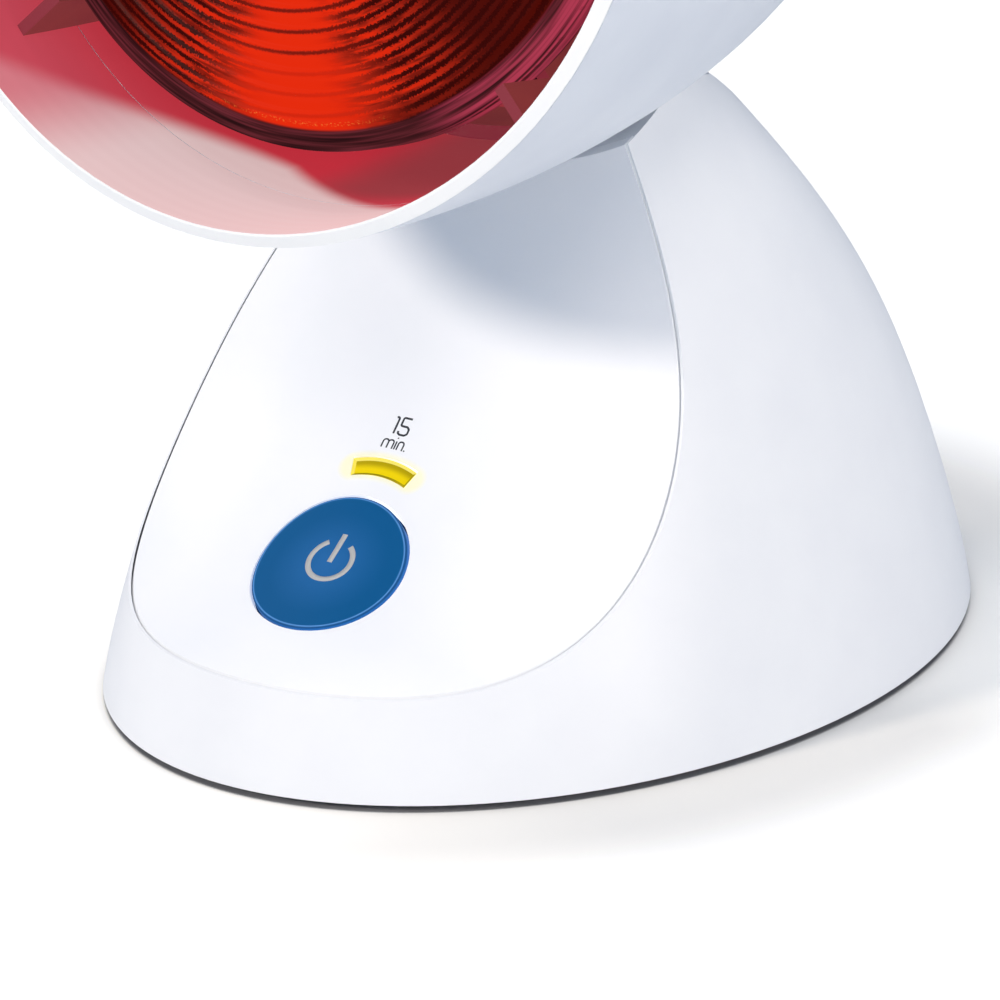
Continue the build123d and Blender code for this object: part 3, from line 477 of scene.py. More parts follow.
@dataclass(frozen=True)
class DomedButton(Finish):
    """Push button whose dome is painted lighter towards its middle, with a painted highlight line just inside
    its edge and painted light on its side.

    Its colours' places are shares of its radius, which is in millimetres.
    """

    middle: str = "#2468A6"
    edge: str = "#5E9CDD"
    radius: float = 13.45
    fade: Span = (0.1, 0.75)
    line: float = 0.967
    line_width: float = 0.014
    side_glow: float = 0.55
    side_span: Span = (0.7, 0.3)

    def look(self, graph: Graph) -> Inputs:
        """Colours the cap with painted shade and a painted highlight line by the distance from its middle,
        and lights its side in the gap with painted light.

        Args:
            graph: The shader.

        Returns:
            Inputs of the shader.
        """
        # Painted shade and highlight: the dome lighter in its middle and darker towards its edge, with a
        # light line just inside the edge.
        stops = (
            (self.fade[0], self.middle),
            (self.fade[1], self.colour),
            (self.line - self.line_width, self.colour),
            (self.line, self.edge),
            (self.line + self.line_width, self.cloud),
        )
        colour = (BUTTON_PLACE.point(graph).radius() / self.radius).to(Step.RAMP, color_ramp=stops)
        # Painted light on the cap's side, in the gap around it.
        side = BUTTON_PLACE.facing(graph).z.to(Step.SPREAD, *self.side_span) * self.side_glow
        return {"Base Color": colour, "Emission Color": self.cloud, "Emission Strength": side}


@dataclass(frozen=True)
class RedLitWall(Finish):
    """White moulded shade whose inside is painted with the lamp's red light, which it emits, with painted
    pale light by its mouth and painted shade beside the lens.

    The painted pale light is a tongue: deepest at one angle about the lamp's axis, and shallower to both
    sides.
    Depths are millimetres behind the mouth, and the outward spans say how far a face looks outwards.
    """

    deep: str = "#D13443"
    rose: str = "#D45060"
    pale: str = "#EFD2D2"
    blush: str = "#E0848E"
    shaded: str = "#9F4047"
    nose: str = "#E3E7EE"
    lit_angle: float = -99.0
    lit_depth: float = 34.0
    left_reach: float = 34.0
    right_reach: float = 62.0
    softness: float = 2.6
    left_softness: float = 3.0
    blush_start: float = -128.0
    blush_end: float = -112.0
    deep_span: Span = (6.0, 40.0)
    shaded_angle: float = -81.0
    shaded_span: Span = (0.965, 1.0)
    shaded_depths: Span = (22.0, 34.0)
    inside_span: Span = (-0.5, -0.7)
    nose_spans: tuple[Span, Span] = ((0.62, 0.74), (0.95, 0.82))
    arc_density: float = 1.7
    arc_share: float = 0.02
    # The inside emits its painted light at this strength, over its base colour darkened to this share.
    glow: float = 0.66
    base_share_under_glow: float = 0.35

    def pale_share(self, depth: Signal, angle: Signal) -> Signal:
        """Finds how much of the painted pale tongue of light falls on the wall.

        Args:
            depth: Depth behind the mouth.
            angle: Angle about the axis.

        Returns:
            A share from 0 to 1.
        """
        aside = angle - math.radians(self.lit_angle)
        left = (aside * -1.0).to(Step.MAXIMUM, 0.0) / math.radians(self.left_reach)
        right = aside.to(Step.MAXIMUM, 0.0) / math.radians(self.right_reach)
        edge = (1.0 - (left * left + right).to(Step.MINIMUM, 1.0)) * self.lit_depth
        soft = left * self.left_softness + self.softness
        return 1.0 - depth.to(Step.SPREAD, edge - soft, edge + soft)

    def inner(self, depth: Signal, point: Parts) -> Signal:
        """Colours the inner wall with painted light: red that deepens behind the mouth, the pale tongue,
        painted shade beside the lens and faint arcs of that shade's colour.

        Args:
            depth: Depth behind the mouth.
            point: The shaded point.

        Returns:
            The colour.
        """
        angle = point.angle()
        blush = 1.0 - angle.to(Step.SPREAD, math.radians(self.blush_start), math.radians(self.blush_end))
        lit = blush.to(Step.BLEND, self.pale, self.blush)
        red = depth.to(Step.SPREAD, *self.deep_span).to(Step.BLEND, self.rose, self.deep)
        dim = point.toward(self.shaded_angle).to(Step.SPREAD, *self.shaded_span)
        dim = dim * depth.to(Step.SPREAD, *self.shaded_depths)
        wall = dim.to(Step.BLEND, red, self.shaded)
        wall = self.pale_share(depth, angle).to(Step.BLEND, wall, lit)
        arcs = (depth * self.arc_density).to(Step.SINE).to(Step.SPREAD, -1.0, 1.0, 0.0, self.arc_share)
        return arcs.to(Step.BLEND, wall, self.shaded)

    def look(self, graph: Graph) -> Inputs:
        """Colours the outside white with a nose line of painted shade at its mouth, and the inside with its
        painted red light.

        Args:
            graph: The shader.

        Returns:
            Inputs of the shader.
        """
        point, facing = HEAD_PLACE.point(graph), HEAD_PLACE.facing(graph)
        outward = (facing.x * point.x + facing.y * point.y) / point.radius()
        inside = outward.to(Step.SPREAD, *self.inside_span)
        # The nose colour goes on the band where a face turns outwards: on the ring, a thin line of painted
        # shade.
        rise, fall = (outward.to(Step.SPREAD, *span) for span in self.nose_spans)
        outside = (rise * fall).to(Step.BLEND, self.base(graph), self.nose)
        wall = self.inner(point.z * -1.0, point)
        # The inside's base colour is darkened, so that the painted light that it emits gives its colour.
        base_under_glow = inside.to(Step.DARKEN, wall, (self.base_share_under_glow, self.base_share_under_glow, self.base_share_under_glow, 1.0))
        return {
            "Base Color": inside.to(Step.BLEND, outside, base_under_glow),
            "Emission Color": wall,
            "Emission Strength": inside * self.glow,
        }


@dataclass(frozen=True)
class RimGlass(Finish):
    """Dark mirrored glass, with painted streaks of magenta reflection along one side of its edge; all its
    colour is emitted.
    """

    streak: str = "#B03A52"
    streak_angle: float = -35.0
    streak_side: Span = (0.86, 0.97)
    streak_density: Triple = (1.3, 1.5, 0.9)
    streak_span: Span = (0.4, 0.62)
    body: Triple = (0.004, 0.001, 0.002)
    glow: float = 0.75

    def swirl(self, point: Parts, density: Triple, detail: float, roughness: float = 0.5) -> Signal:
        """Mottles the glass with bands that run around its axis.

        Args:
            point: The shaded point.
            density: Blots in a millimetre outwards, in a radian around and in a millimetre along.
            detail: How much finer mottling they carry.
            roughness: How strong that is.

        Returns:
            A share that stays mostly between 0.3 and 0.7.
        """
        graph = point.z.graph
        ways = zip((point.radius(), point.angle(), point.z), density)
        place = graph.add("ShaderNodeCombineXYZ", {index: a * b for index, (a, b) in enumerate(ways)})
        inputs = {"Vector": place, "Scale": 1.0, "Detail": detail, "Roughness": roughness}
        return graph.add("ShaderNodeTexNoise", inputs)

    def streaks(self, point: Parts) -> Signal:
        """Share of the painted reflection streaks, which run around the axis."""
        side = point.toward(self.streak_angle).to(Step.SPREAD, *self.streak_side)
        return self.swirl(point, self.streak_density, 3.0).to(Step.SPREAD, *self.streak_span) * side

    def surface(self, graph: Graph, point: Parts) -> Signal:
        """Colour of the glass that the lens leaves free."""
        return self.streaks(point).to(Step.BLEND, self.base(graph), self.streak)

    def look(self, graph: Graph) -> Inputs:
        """Gives the near-black glass the light that it sends back, as painted reflection that it emits."""
        colour = self.surface(graph, HEAD_PLACE.point(graph))
        return {"Base Color": (*self.body, 1.0), "Emission Color": colour, "Emission Strength": self.glow}


@dataclass(frozen=True)
class RubyLens(RimGlass):
    """Ruby pressed glass that glows from behind, with dark lines where its rings turn light away.

    The light is fullest in the middle and in two lobes, above and below. Beside the lobes the lines come
    twice as close. Radii are in millimetres, and the lobes' spans are cosines of the angle from them.
    """

    body: Triple = (0.008, 0.001, 0.001)
    glow: float = 0.95
    dying: str = "#330200"
    ember: str = "#4E0A03"
    coal: str = "#B8240D"
    bright: str = "#DD2607"
    spark: str = "#FF8A3A"
    ring_pitch: float = 3.35
    ring_first: float = 4.7
    ring_drift: float = 2.3
    ring_grain: float = 0.35
    ring_crumble: float = 1.6
    crumble: float = 0.25
    side_crumble: float = 0.5
    line_span: Span = (0.03, 0.15)
    side_line_span: Span = (0.12, 0.32)
    glow_radius: float = 57.2
    glow_edge: Span = (-0.4, 0.2)
    glow_angle: float = -86.0
    core_radii: Span = (36.0, 12.0)
    side_lobe: Span = (0.999, 0.96)
    high_lobe: Span = (0.72, 0.985)
    high_light: float = 0.88
    least_light: float = 0.1
    lane_density: Triple = (0.9, 5.0, 0.0)
    lane_span: Span = (0.6, 0.36)
    lane_share: float = 0.7
    dim_angles: Span = (-80.0, -62.0)
    dim_radii: Span = (54.3, 55.6)
    dim_share: float = 0.7
    low_lobe: Span = (0.9, 1.0)
    low_light: float = 0.3
    outer_lobe: Span = (0.91, 1.0)
    outer_radii: Span = (44.5, 47.0)
    outer_light: float = 0.5
    spark_radius: float = 56.1
    spark_width: Span = (0.5, 0.1)
    spark_lobe: Span = (0.94, 0.99)
    spark_crumb: float = 0.5
    dusk: tuple[tuple[float, str], ...] = ((0.34, "#1F0A0E"), (0.5, "#43181D"), (0.66, "#66262F"))
    dusk_density: Triple = (1.5, 2.5, 0.0)

    def lines(self, turns: Signal, start: float, end: float) -> Signal:
        """Light between dark lines, one to each turn, that end between two shares of a turn."""
        away = (turns + 0.5).to(Step.FRACT) - 0.5
        return away.to(Step.ABSOLUTE).to(Step.SPREAD, start, end)

    def fire(self, point: Parts, crumbs: Signal, lobe: Signal) -> Signal:
        """Finds how brightly the glass glows.

        Args:
            point: The shaded point.
            crumbs: What roughens the lines, in millimetres.
            lobe: The cosine of the angle from the lobes, which is 1 in the middle too.

        Returns:
            A share from 0 to about 1.
        """
        radius, angle = point.radius(), point.angle()
        side = lobe.to(Step.SPREAD, *self.side_lobe)
        drift = (angle - math.radians(self.glow_angle)) * self.ring_drift
        crumbled = radius + drift + crumbs * (side * self.side_crumble + self.crumble)
        turns = (crumbled - self.ring_first) / self.ring_pitch
        close = side * (1.0 - self.lines(turns * 2.0, *self.side_line_span))
        line = self.lines(turns, *self.line_span) * (1.0 - close)
        lanes = self.swirl(point, self.lane_density, 4.0, 0.6).to(Step.SPREAD, *self.lane_span)
        high = lobe.to(Step.SPREAD, *self.high_lobe) * (1.0 - lanes * side * self.lane_share)
        right = angle.to(Step.SPREAD, *map(math.radians, self.dim_angles))
        high = high * (1.0 - radius.to(Step.SPREAD, *self.dim_radii) * right * self.dim_share)
        outer = lobe.to(Step.SPREAD, *self.outer_lobe) * radius.to(Step.SPREAD, *self.outer_radii)
        low = outer * self.outer_light + lobe.to(Step.SPREAD, *self.low_lobe) * self.low_light
        return line * (high * self.high_light + self.least_light) + low * (1.0 - line)

    def surface(self, graph: Graph, point: Parts) -> Signal:
        """Colours the glass: the lit rings, a line of sparks near their end, and the dark rim with its
        painted reflections.

        Args:
            graph: The shader.
            point: The shaded point.

        Returns:
            The colour.
        """
        radius = point.radius()
        core = radius.to(Step.SPREAD, *self.core_radii)
        lobe = point.toward(self.glow_angle).to(Step.ABSOLUTE).to(Step.MAXIMUM, core)
        crumbs = (self.mottle(graph, self.ring_grain) - 0.5) * self.ring_crumble
        stops = (
            (0.0, self.dying),
            (0.12, self.ember),
            (0.35, self.cloud),
            (0.62, self.coal),
            (0.85, self.bright),
            (1.0, self.colour),
        )
        colour = self.fire(point, crumbs, lobe).to(Step.RAMP, color_ramp=stops)
        spark = (radius - self.spark_radius).to(Step.ABSOLUTE).to(Step.SPREAD, *self.spark_width)
        spark = spark * crumbs.to(Step.SPREAD, 0.0, self.spark_crumb)
        spark = spark * lobe.to(Step.SPREAD, *self.spark_lobe)
        colour = spark.to(Step.BLEND, colour, self.spark)
        # The dark rim: bands and streaks of painted reflection that run around it.
        dusk = self.swirl(point, self.dusk_density, 2.0).to(Step.RAMP, color_ramp=self.dusk)
        rim = self.streaks(point).to(Step.BLEND, dusk, self.streak)
        edge = radius.to(Step.SPREAD, *(self.glow_radius + share for share in self.glow_edge))
        return edge.to(Step.BLEND, colour, rim)


@dataclass(frozen=True)
class SmokedBlade(Finish):
    """Clear smoked blades that emit the shade's red light painted on them, redder on the narrow front edges
    that catch it.
    """

    edge: str = "#9A3443"
    edge_span: Span = (0.4, 0.8)
    body: Triple = (0.06, 0.012, 0.015)
    glow: float = 0.6

    def look(self, graph: Graph) -> Inputs:
        """Changes the colour of the painted light on the faces that look out of the shade's mouth.

        Args:
            graph: The shader.

        Returns:
            Inputs of the shader.
        """
        front = HEAD_PLACE.facing(graph).z.to(Step.SPREAD, *self.edge_span)
        colour = front.to(Step.BLEND, self.base(graph), self.edge)
        return {"Base Color": (*self.body, 1.0), "Emission Color": colour, "Emission Strength": self.glow}


@dataclass(frozen=True)
class LitWindow(Finish):
    """Yellow light guide with a bevelled face, lit from below, with a painted highlight on its top and left
    bevels and painted shade on the others. Its cloud is its far edge's colour.
    """

    highlight: str = "#F4E668"
    shade: str = "#9C8C00"
    glow: float = 0.06
    lean: Point = (0.55, -0.83)
    lean_span: Span = (-0.3, 0.3)
    flat_span: Span = (0.93, 0.985)
    far_span: Span = (18.9, 20.3)

    def look(self, graph: Graph) -> Inputs:
        """Paints highlight and shade on the bevels by the way they face, and colours the face from its far
        edge to its near one.

        Args:
            graph: The shader.

        Returns:
            Inputs of the shader.
        """
        facing = BUTTON_PLACE.facing(graph)
        # Painted highlight on the top and left bevels of the sunk face, painted shade on the bottom and right
        # ones.
        light = facing.x * self.lean[0] + facing.y * self.lean[1]
        stops = ((0.0, self.shade), (0.16, self.colour), (0.88, self.colour), (1.0, self.highlight))
        bevel = light.to(Step.SPREAD, *self.lean_span).to(Step.RAMP, color_ramp=stops)
        far = BUTTON_PLACE.point(graph).radius().to(Step.SPREAD, *self.far_span)
        flat = facing.z.to(Step.SPREAD, *self.flat_span)
        colour = (far * flat).to(Step.BLEND, bevel, self.cloud)
        return {"Base Color": colour, "Emission Color": colour, "Emission Strength": self.glow}


# Moulded ABS: neutral white, and even apart from the slightest cloud.
WHITE_ABS = Finish("white_moulded_abs", "#F0F2F4", "#ECEEF1", roughness=0.42, specular=0.35)
# ABS from a polished mould: smoother than the base around it, and painted whiter for the light that falls on
# the panel.
PANEL_WHITE = LitPanel(
    "smooth_white_panel", "#F9FAFC", "#F5F7F9", roughness=0.38, specular=0.35, grain_depth=0.002
)
# Glass-filled shade plastic: painted a cooler and greyer white than the base, for the shade that the head's
# outside lies in.
SHADE_WHITE = RedLitWall("heat_resistant_shade", "#DEE4EC", "#D9DFE8", specular=0.35)
# The same plastic with a polished lip, painted a brighter white than the shade for the light on the lip,
# which reads as a bright band; its nose line is painted shade.
RING_WHITE = RedLitWall(
    "bright_rim_ring", "#FAFBFA", "#F6F8F8", roughness=0.35, specular=0.35, nose="#A3A9AE"
)
# The shade's plastic, with a slightly duller skin, in the same white as the shade, painted greyer for shade.
COVER_WHITE = Finish("ventilated_cover_abs", "#DEE4EC", "#D9DFE8", roughness=0.45, specular=0.35)
# Dyed ABS: a mid blue with a soft sheen, painted lighter towards its middle and with a painted highlight line
# inside its edge.
BUTTON_BLUE = DomedButton(
    "blue_button_cap", "#0A588E", "#164F86", roughness=0.5, specular=0.1, grain_depth=0.002
)
# Dyed clear acrylic: a deep yellow, with a painted highlight on its top and left bevels and painted shade on
# the others.
WINDOW_YELLOW = LitWindow("yellow_light_guide", "#EBD000", "#B09A00", specular=0.1, grain_depth=0.001)
# Pressed ruby glass: lit from behind by the filament, and crossed by dark lines.
LENS_RUBY = RubyLens("ruby_pressed_glass", "#EC2B06", "#851809", roughness=0.35, specular=0.02)
# Mirrored glass behind the lens: nearly black, with a red cast from the glass over it and magenta streaks,
# painted as reflection that it emits.
RIM_GLASS = RimGlass("dark_mirrored_glass", "#2E1016", "#5A222C", roughness=0.3, specular=0.1, cloud_size=6.0)
# Smoked polycarbonate: a dull red, with the shade's light painted on it and emitted.
BLADE_SMOKED = SmokedBlade("smoked_red_blades", "#96413F", "#83383B", specular=0.15, cloud_size=14.0)
# Screen-printing ink: matt and nearly black.
DARK_INK = Finish(
    "dark_grey_ink", "#33363B", "#3A3D42", roughness=0.6, specular=0.2, grain_size=0.1, grain_depth=0.002
)
# Pad-printing ink: matt, and a warm light grey.
SILVER_INK = Finish(
    "light_grey_ink", "#B3B3B0", "#BDBDBB", roughness=0.5, specular=0.2, grain_size=0.1, grain_depth=0.002
)
# Textured polypropylene: light grey, with a fine grain that dulls it.
GREY_PLATE = Finish(
    "fine_textured_plate", "#C9CDD2", "#C2C6CC", roughness=0.6, grain_size=0.5, grain_depth=0.02
)
# Moulded rubber: dull, dark, with a dusty cloud.
BLACK_RUBBER = Finish(
    "moulded_rubber", "#1B1C1E", "#26272A", roughness=0.78, cloud_size=6.0, grain_depth=0.02
)
# Steatite: an off-white ceramic under a thin glaze.
STEATITE = Finish("glazed_steatite", "#E4DFD2", "#D8D2C2", roughness=0.25, coat=0.5, cloud_size=9.0)
# Glass-epoxy board under its mask: dark green with a clear gloss.
BOARD_GREEN = Finish("solder_masked_board", "#0F5A2C", "#0C4A25", roughness=0.35, coat=0.3, cloud_size=4.0)
# Moulded nylon: black with a soft sheen.
BLACK_NYLON = Finish("black_moulded_nylon", "#17181A", "#1F2023", roughness=0.45, grain_depth=0.01)
# Potted polyester case: an even mid blue.
BLUE_CASE = Finish("blue_potted_case", "#1C3E8C", "#23479A", roughness=0.35, cloud_size=7.0)
# Polyester tape over windings: a warm yellow.
YELLOW_TAPE = Finish("yellow_winding_tape", "#D9B43A", "#CDA62F", roughness=0.5, cloud_size=3.0)
# Dyed nylon: a clear mid green.
GREEN_NYLON = Finish("green_terminal_nylon", "#1E7A46", "#1A6E3F", roughness=0.45, cloud_size=5.0)
# Glass tube with metal caps: pale and shiny.
FUSE_GLASS = Finish("capped_glass_tube", "#C9D2D4", "#B4BDC0", roughness=0.1, coat=0.6, cloud_size=3.0)
# Cast epoxy: a clear honey yellow, very shiny.
EPOXY_DOME = Finish("cast_epoxy_dome", "#E8D28A", "#DCC478", roughness=0.15, coat=0.5, cloud_size=2.0)
# Zinc casting, tumbled: a satin metal with a fine even pitting.
ZINC_CAST = Finish(
    "tumbled_zinc_casting",
    "#A2A4A6",
    "#95979A",
    roughness=0.42,
    metallic=1.0,
    grain_size=0.4,
    grain_depth=0.02,
)
# Zinc-plated screw steel: bright, with turned lines.
PLATED_STEEL = DrawnMetal("zinc_plated_steel", "#B4B7BA", "#A7ABAF", roughness=0.3)
# Cold-rolled strip: greyer, with lines along its length.
STRIP_STEEL = DrawnMetal("rolled_strip_steel", "#A9ABAE", "#9DA0A4", roughness=0.35, stretch=(1.0, 0.1, 1.0))
# Nickelled brass: bright, with a warm cast.
NICKEL_CAP = DrawnMetal("nickelled_brass_cap", "#C7BFA2", "#B9B08F", roughness=0.28)
# Stacked and lacquered laminations: dark, with lines from sheet to sheet.
CORE_STEEL = DrawnMetal("laminated_core_steel", "#3E4043", "#343638", roughness=0.5, stretch=(1.0, 0.1, 0.1))

NODE_FINISHES: dict[Finish, tuple[str, ...]] = {
    WHITE_ABS: ("base_shell",),
    PANEL_WHITE: ("front_panel",),
    SHADE_WHITE: ("shade_shell",),
    RING_WHITE: ("front_ring",),
    COVER_WHITE: ("rear_cover",),
    WINDOW_YELLOW: ("indicator_window",),
    BUTTON_BLUE: ("power_button",),
    LENS_RUBY: ("lamp_lens",),
    RIM_GLASS: ("lamp_bowl",),
    BLADE_SMOKED: ("lamp_cradle",),
    BLACK_NYLON: ("switch_plunger", "switch_body"),
    EPOXY_DOME: ("indicator_light",),
    BOARD_GREEN: ("switch_board", "power_board"),
    GREY_PLATE: ("bottom_plate",),
    BLACK_RUBBER: ("rubber_feet", "cord_grommet"),
    BLUE_CASE: ("relay",),
    CORE_STEEL: ("transformer_core",),
    YELLOW_TAPE: ("transformer_winding", "filter_capacitor"),
    GREEN_NYLON: ("terminal_block",),
    FUSE_GLASS: ("fuse",),
    ZINC_CAST: ("hinge_post", "hinge_bracket"),
    NICKEL_CAP: ("lamp_cap", "lamp_contact"),
    STEATITE: ("lampholder",),
    STRIP_STEEL: ("holder_strap", "friction_washers"),
    PLATED_STEEL: (
        *("switch_board_screws", "power_board_screws", "bottom_screws", "post_screws", "holder_screws"),
        *("strap_screws", "cover_screws", "bracket_screws", "hinge_pin", "hinge_nut"),
    ),
}


def dress_nodes() -> None:
    """Gives every CAD node its finish."""
    for finish, names in NODE_FINISHES.items():
        for name in names:
            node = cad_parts[name]
            node.data.materials.clear()
            node.data.materials.append(finish.material())
    log.info("dressed %d nodes", sum(map(len, NODE_FINISHES.values())))


# ---------------------------------------------------------------- pieces


def add_object(name: str, data: bpy.types.ID) -> bpy.types.Object:
    """Makes an object and puts it in the scene.

    Args:
        name: The object's name.
        data: Its mesh, curve, light or camera.

    Returns:
        The object.
    """
    made = bpy.data.objects.new(name, data)
    bpy.context.scene.collection.objects.link(made)
    return made


def aim(thing: bpy.types.Object, place: Triple, target: Triple) -> None:
    """Puts a lamp or the camera in its place and turns it to its target."""
    thing.location = place
    thing.rotation_euler = (Vector(target) - Vector(place)).to_track_quat("-Z", "Y").to_euler()


@dataclass
class Piece:
    """A visible piece: its name, its body, its material slot and the nodes that it stands for."""

    name: str
    body: Body
    slot: str
    finish: Finish
    replaced: tuple[str, ...] = ()

    def mesh(self) -> bpy.types.Mesh:
        """Makes the piece's mesh in the lamp's frame."""
        raise NotImplementedError

    def build(self) -> None:
        """Makes the piece, hides the nodes that it replaces and hands it to its body."""
        piece = add_object(self.name, self.mesh())
        if self.replaced:
            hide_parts(*self.replaced)
        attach(piece, self.body.value)
        log.info("%s: %d faces on %s", self.name, len(piece.data.polygons), self.body.value)


@dataclass
class GrownPiece(Piece):
    """A piece that a geometry tree grows from some data and a few named sizes in millimetres."""

    def sizes(self) -> dict[str, float]:
        """Named sizes of the tree."""
        raise NotImplementedError

    def host_data(self) -> bpy.types.ID:
        """The data that the tree starts from."""
        return bpy.data.meshes.new(self.name + "_host")

    def shape(self, start: Signal) -> Signal:
        """Draws the tree from its inputs to the finished form."""
        raise NotImplementedError

    def tree(self) -> bpy.types.NodeTree:
        """Makes the tree, which ends in Realize Instances and Set Material.

        Returns:
            The geometry tree, with an input for each size.
        """
        tree = bpy.data.node_groups.new(self.name + "_tree", "GeometryNodeTree")
        tree.interface.new_socket(name="Geometry", in_out="INPUT", socket_type="NodeSocketGeometry")
        for size in self.sizes():
            tree.interface.new_socket(name=size, in_out="INPUT", socket_type="NodeSocketFloat")
        tree.interface.new_socket(name="Geometry", in_out="OUTPUT", socket_type="NodeSocketGeometry")
        graph = Graph(tree)
        form = self.shape(graph.add("NodeGroupInput"))
        real = graph.add("GeometryNodeRealizeInstances", {0: form})
        material = self.finish.material()
        painted = graph.add("GeometryNodeSetMaterial", {"Geometry": real, "Material": material})
        graph.add("NodeGroupOutput", {0: painted})
        return tree

    def mesh(self) -> bpy.types.Mesh:
        """Runs the tree and keeps its result as a plain mesh.

        Returns:
            The mesh, free of the tree.
        """
        host = add_object(self.name + "_host", self.host_data())
        modifier = host.modifiers.new("grow", "NODES")
        modifier.node_group = self.tree()
        sizes = self.sizes()
        for item in modifier.node_group.interface.items_tree:
            if item.in_out == "INPUT" and item.name in sizes:
                modifier[item.identifier] = sizes[item.name] * MM
        bpy.context.view_layer.update()
        graph = bpy.context.evaluated_depsgraph_get()
        mesh = bpy.data.meshes.new_from_object(host.evaluated_get(graph))
        mesh.name = self.name
        host.modifiers.remove(modifier)
        bpy.data.objects.remove(host)
        return mesh


@dataclass
class PanelPrint(GrownPiece):
    """Marks printed on the panel's sweep, drawn flat as strokes and wrapped on the surface."""

    strokes: Strokes = ()
    width: float = 0.29
    height: float = 0.05
    lift: float = 0.0
    corner: float = 0.28
    corner_steps: int = 5

    def sizes(self) -> dict[str, float]:
        """The strokes' sizes and the sweep's."""
        return {
            "Width": self.width,
            "Height": self.height,
            "Lift": self.lift,
            "Corner": self.corner,
            "Radius": SWEEP.radius,
            "Centre Y": SWEEP.centre_y,
            "Centre Z": SWEEP.centre_z,
            "Crown": SWEEP.crown,
        }

    def host_data(self) -> bpy.types.Curve:
        """Draws the strokes as flat poly splines, with the panel's arc as their Y.

        Returns:
            The splines, in metres.
        """
        data = bpy.data.curves.new(self.name + "_strokes", "CURVE")
        for stroke in self.strokes:
            spline = data.splines.new("POLY")
            spline.points.add(len(stroke) - 1)
            for point, (x, arc) in zip(spline.points, stroke):
                point.co = (x * MM, arc * MM, 0.0, 1.0)
        return data

    def shape(self, start: Signal) -> Signal:
        """Rounds the strokes, thickens them and wraps them on the sweep.

        Args:
            start: The tree's inputs.

        Returns:
            The printed marks.
        """
        graph = start.graph
        corner = {"Radius": start["Corner"], "Limit Radius": True, "Count": self.corner_steps}
        rounded = graph.add("GeometryNodeFilletCurve", {"Curve": start, **corner}, {"mode": "POLY"})
        sides = {"Width": start["Width"], "Height": start["Height"]}
        section = graph.add("GeometryNodeCurvePrimitiveQuadrilateral", sides)
        path = {"Curve": rounded, "Profile Curve": section, "Fill Caps": True}
        ribbon = graph.add("GeometryNodeCurveToMesh", path)
        flat = graph.add("ShaderNodeSeparateXYZ", {0: graph.add("GeometryNodeInputPosition")})
        angle = flat["Y"] / start["Radius"]
        reach = start["Radius"] - flat["Z"] - start["Lift"]
        side = start["Crown"] * start["Crown"] - flat["X"] * flat["X"]
        drop = start["Crown"] - side.to(Step.SQRT)
        y = start["Centre Y"] + reach * angle.to(Step.SINE)
        z = start["Centre Z"] - drop - reach * angle.to(Step.COSINE)
        wrapped = graph.add("ShaderNodeCombineXYZ", {0: flat["X"], 1: y, 2: z})
        return graph.add("GeometryNodeSetPosition", {"Geometry": ribbon, "Position": wrapped})


@dataclass
class TimerLegend:
    """The figure 15 over the short word for minutes, above the indicator.

    The points of the strokes are in millimetres: across the panel and along its sweep.
    """

    figure_width: float = 0.36
    word_width: float = 0.27
    word_corner: float = 0.45
    figure: Strokes = (
        ((-1.78, 107.72), (-1.27, 107.98), (-1.27, 104.85)),
        ((1.18, 107.92), (-0.45, 107.92), (-0.45, 106.42), (0.85, 106.42), (1.3, 106.05))
        + ((1.3, 105.2), (0.85, 104.85), (-0.1, 104.85), (-0.5, 105.1), (-0.5, 105.45)),
    )
    word: Strokes = (
        ((-2.4, 102.14), (-2.4, 103.68), (-1.36, 103.68), (-1.36, 102.14)),
        ((-1.36, 103.0), (-1.36, 103.68), (-0.32, 103.68), (-0.32, 102.14)),
        ((0.15, 102.14), (0.15, 103.62)),
        ((0.13, 104.1), (0.13, 104.32)),
        ((0.64, 102.14), (0.64, 103.68), (1.68, 103.68), (1.68, 102.14)),
        ((2.16, 102.14), (2.16, 102.36)),
    )

    def build(self) -> None:
        """Prints the figure and the word on the panel."""
        place = (Body.BASE, "panel_white", DARK_INK)
        PanelPrint("timer_figure", *place, strokes=self.figure, width=self.figure_width).build()
        word = {"strokes": self.word, "width": self.word_width, "corner": self.word_corner}
        PanelPrint("timer_word", *place, **word).build()


@dataclass
class PowerSymbol:
    """The broken ring and bar on the button's cap."""

    centre_arc: float = 79.9
    ring_radius: float = 3.88
    stroke: float = 0.95
    gap_angle: float = 33.0
    bar_low: float = 79.5
    bar_high: float = 85.2
    steps: int = 48
    cap_lift: float = 0.3

    def build(self) -> None:
        """Prints the ring and the bar on the button."""
        ring = []
        for step in range(self.steps + 1):
            turn = math.radians(self.gap_angle + (360 - 2 * self.gap_angle) * step / self.steps)
            across, along = self.ring_radius * math.sin(turn), self.ring_radius * math.cos(turn)
            ring.append((across, self.centre_arc + along))
        bar = ((0.0, self.bar_low), (0.0, (self.bar_low + self.bar_high) / 2), (0.0, self.bar_high))
        PanelPrint(
            "power_symbol",
            Body.BUTTON,
            "button_blue",
            SILVER_INK,
            strokes=(tuple(ring), bar),
            width=self.stroke,
            lift=self.cap_lift,
            corner=0.0,
        ).build()


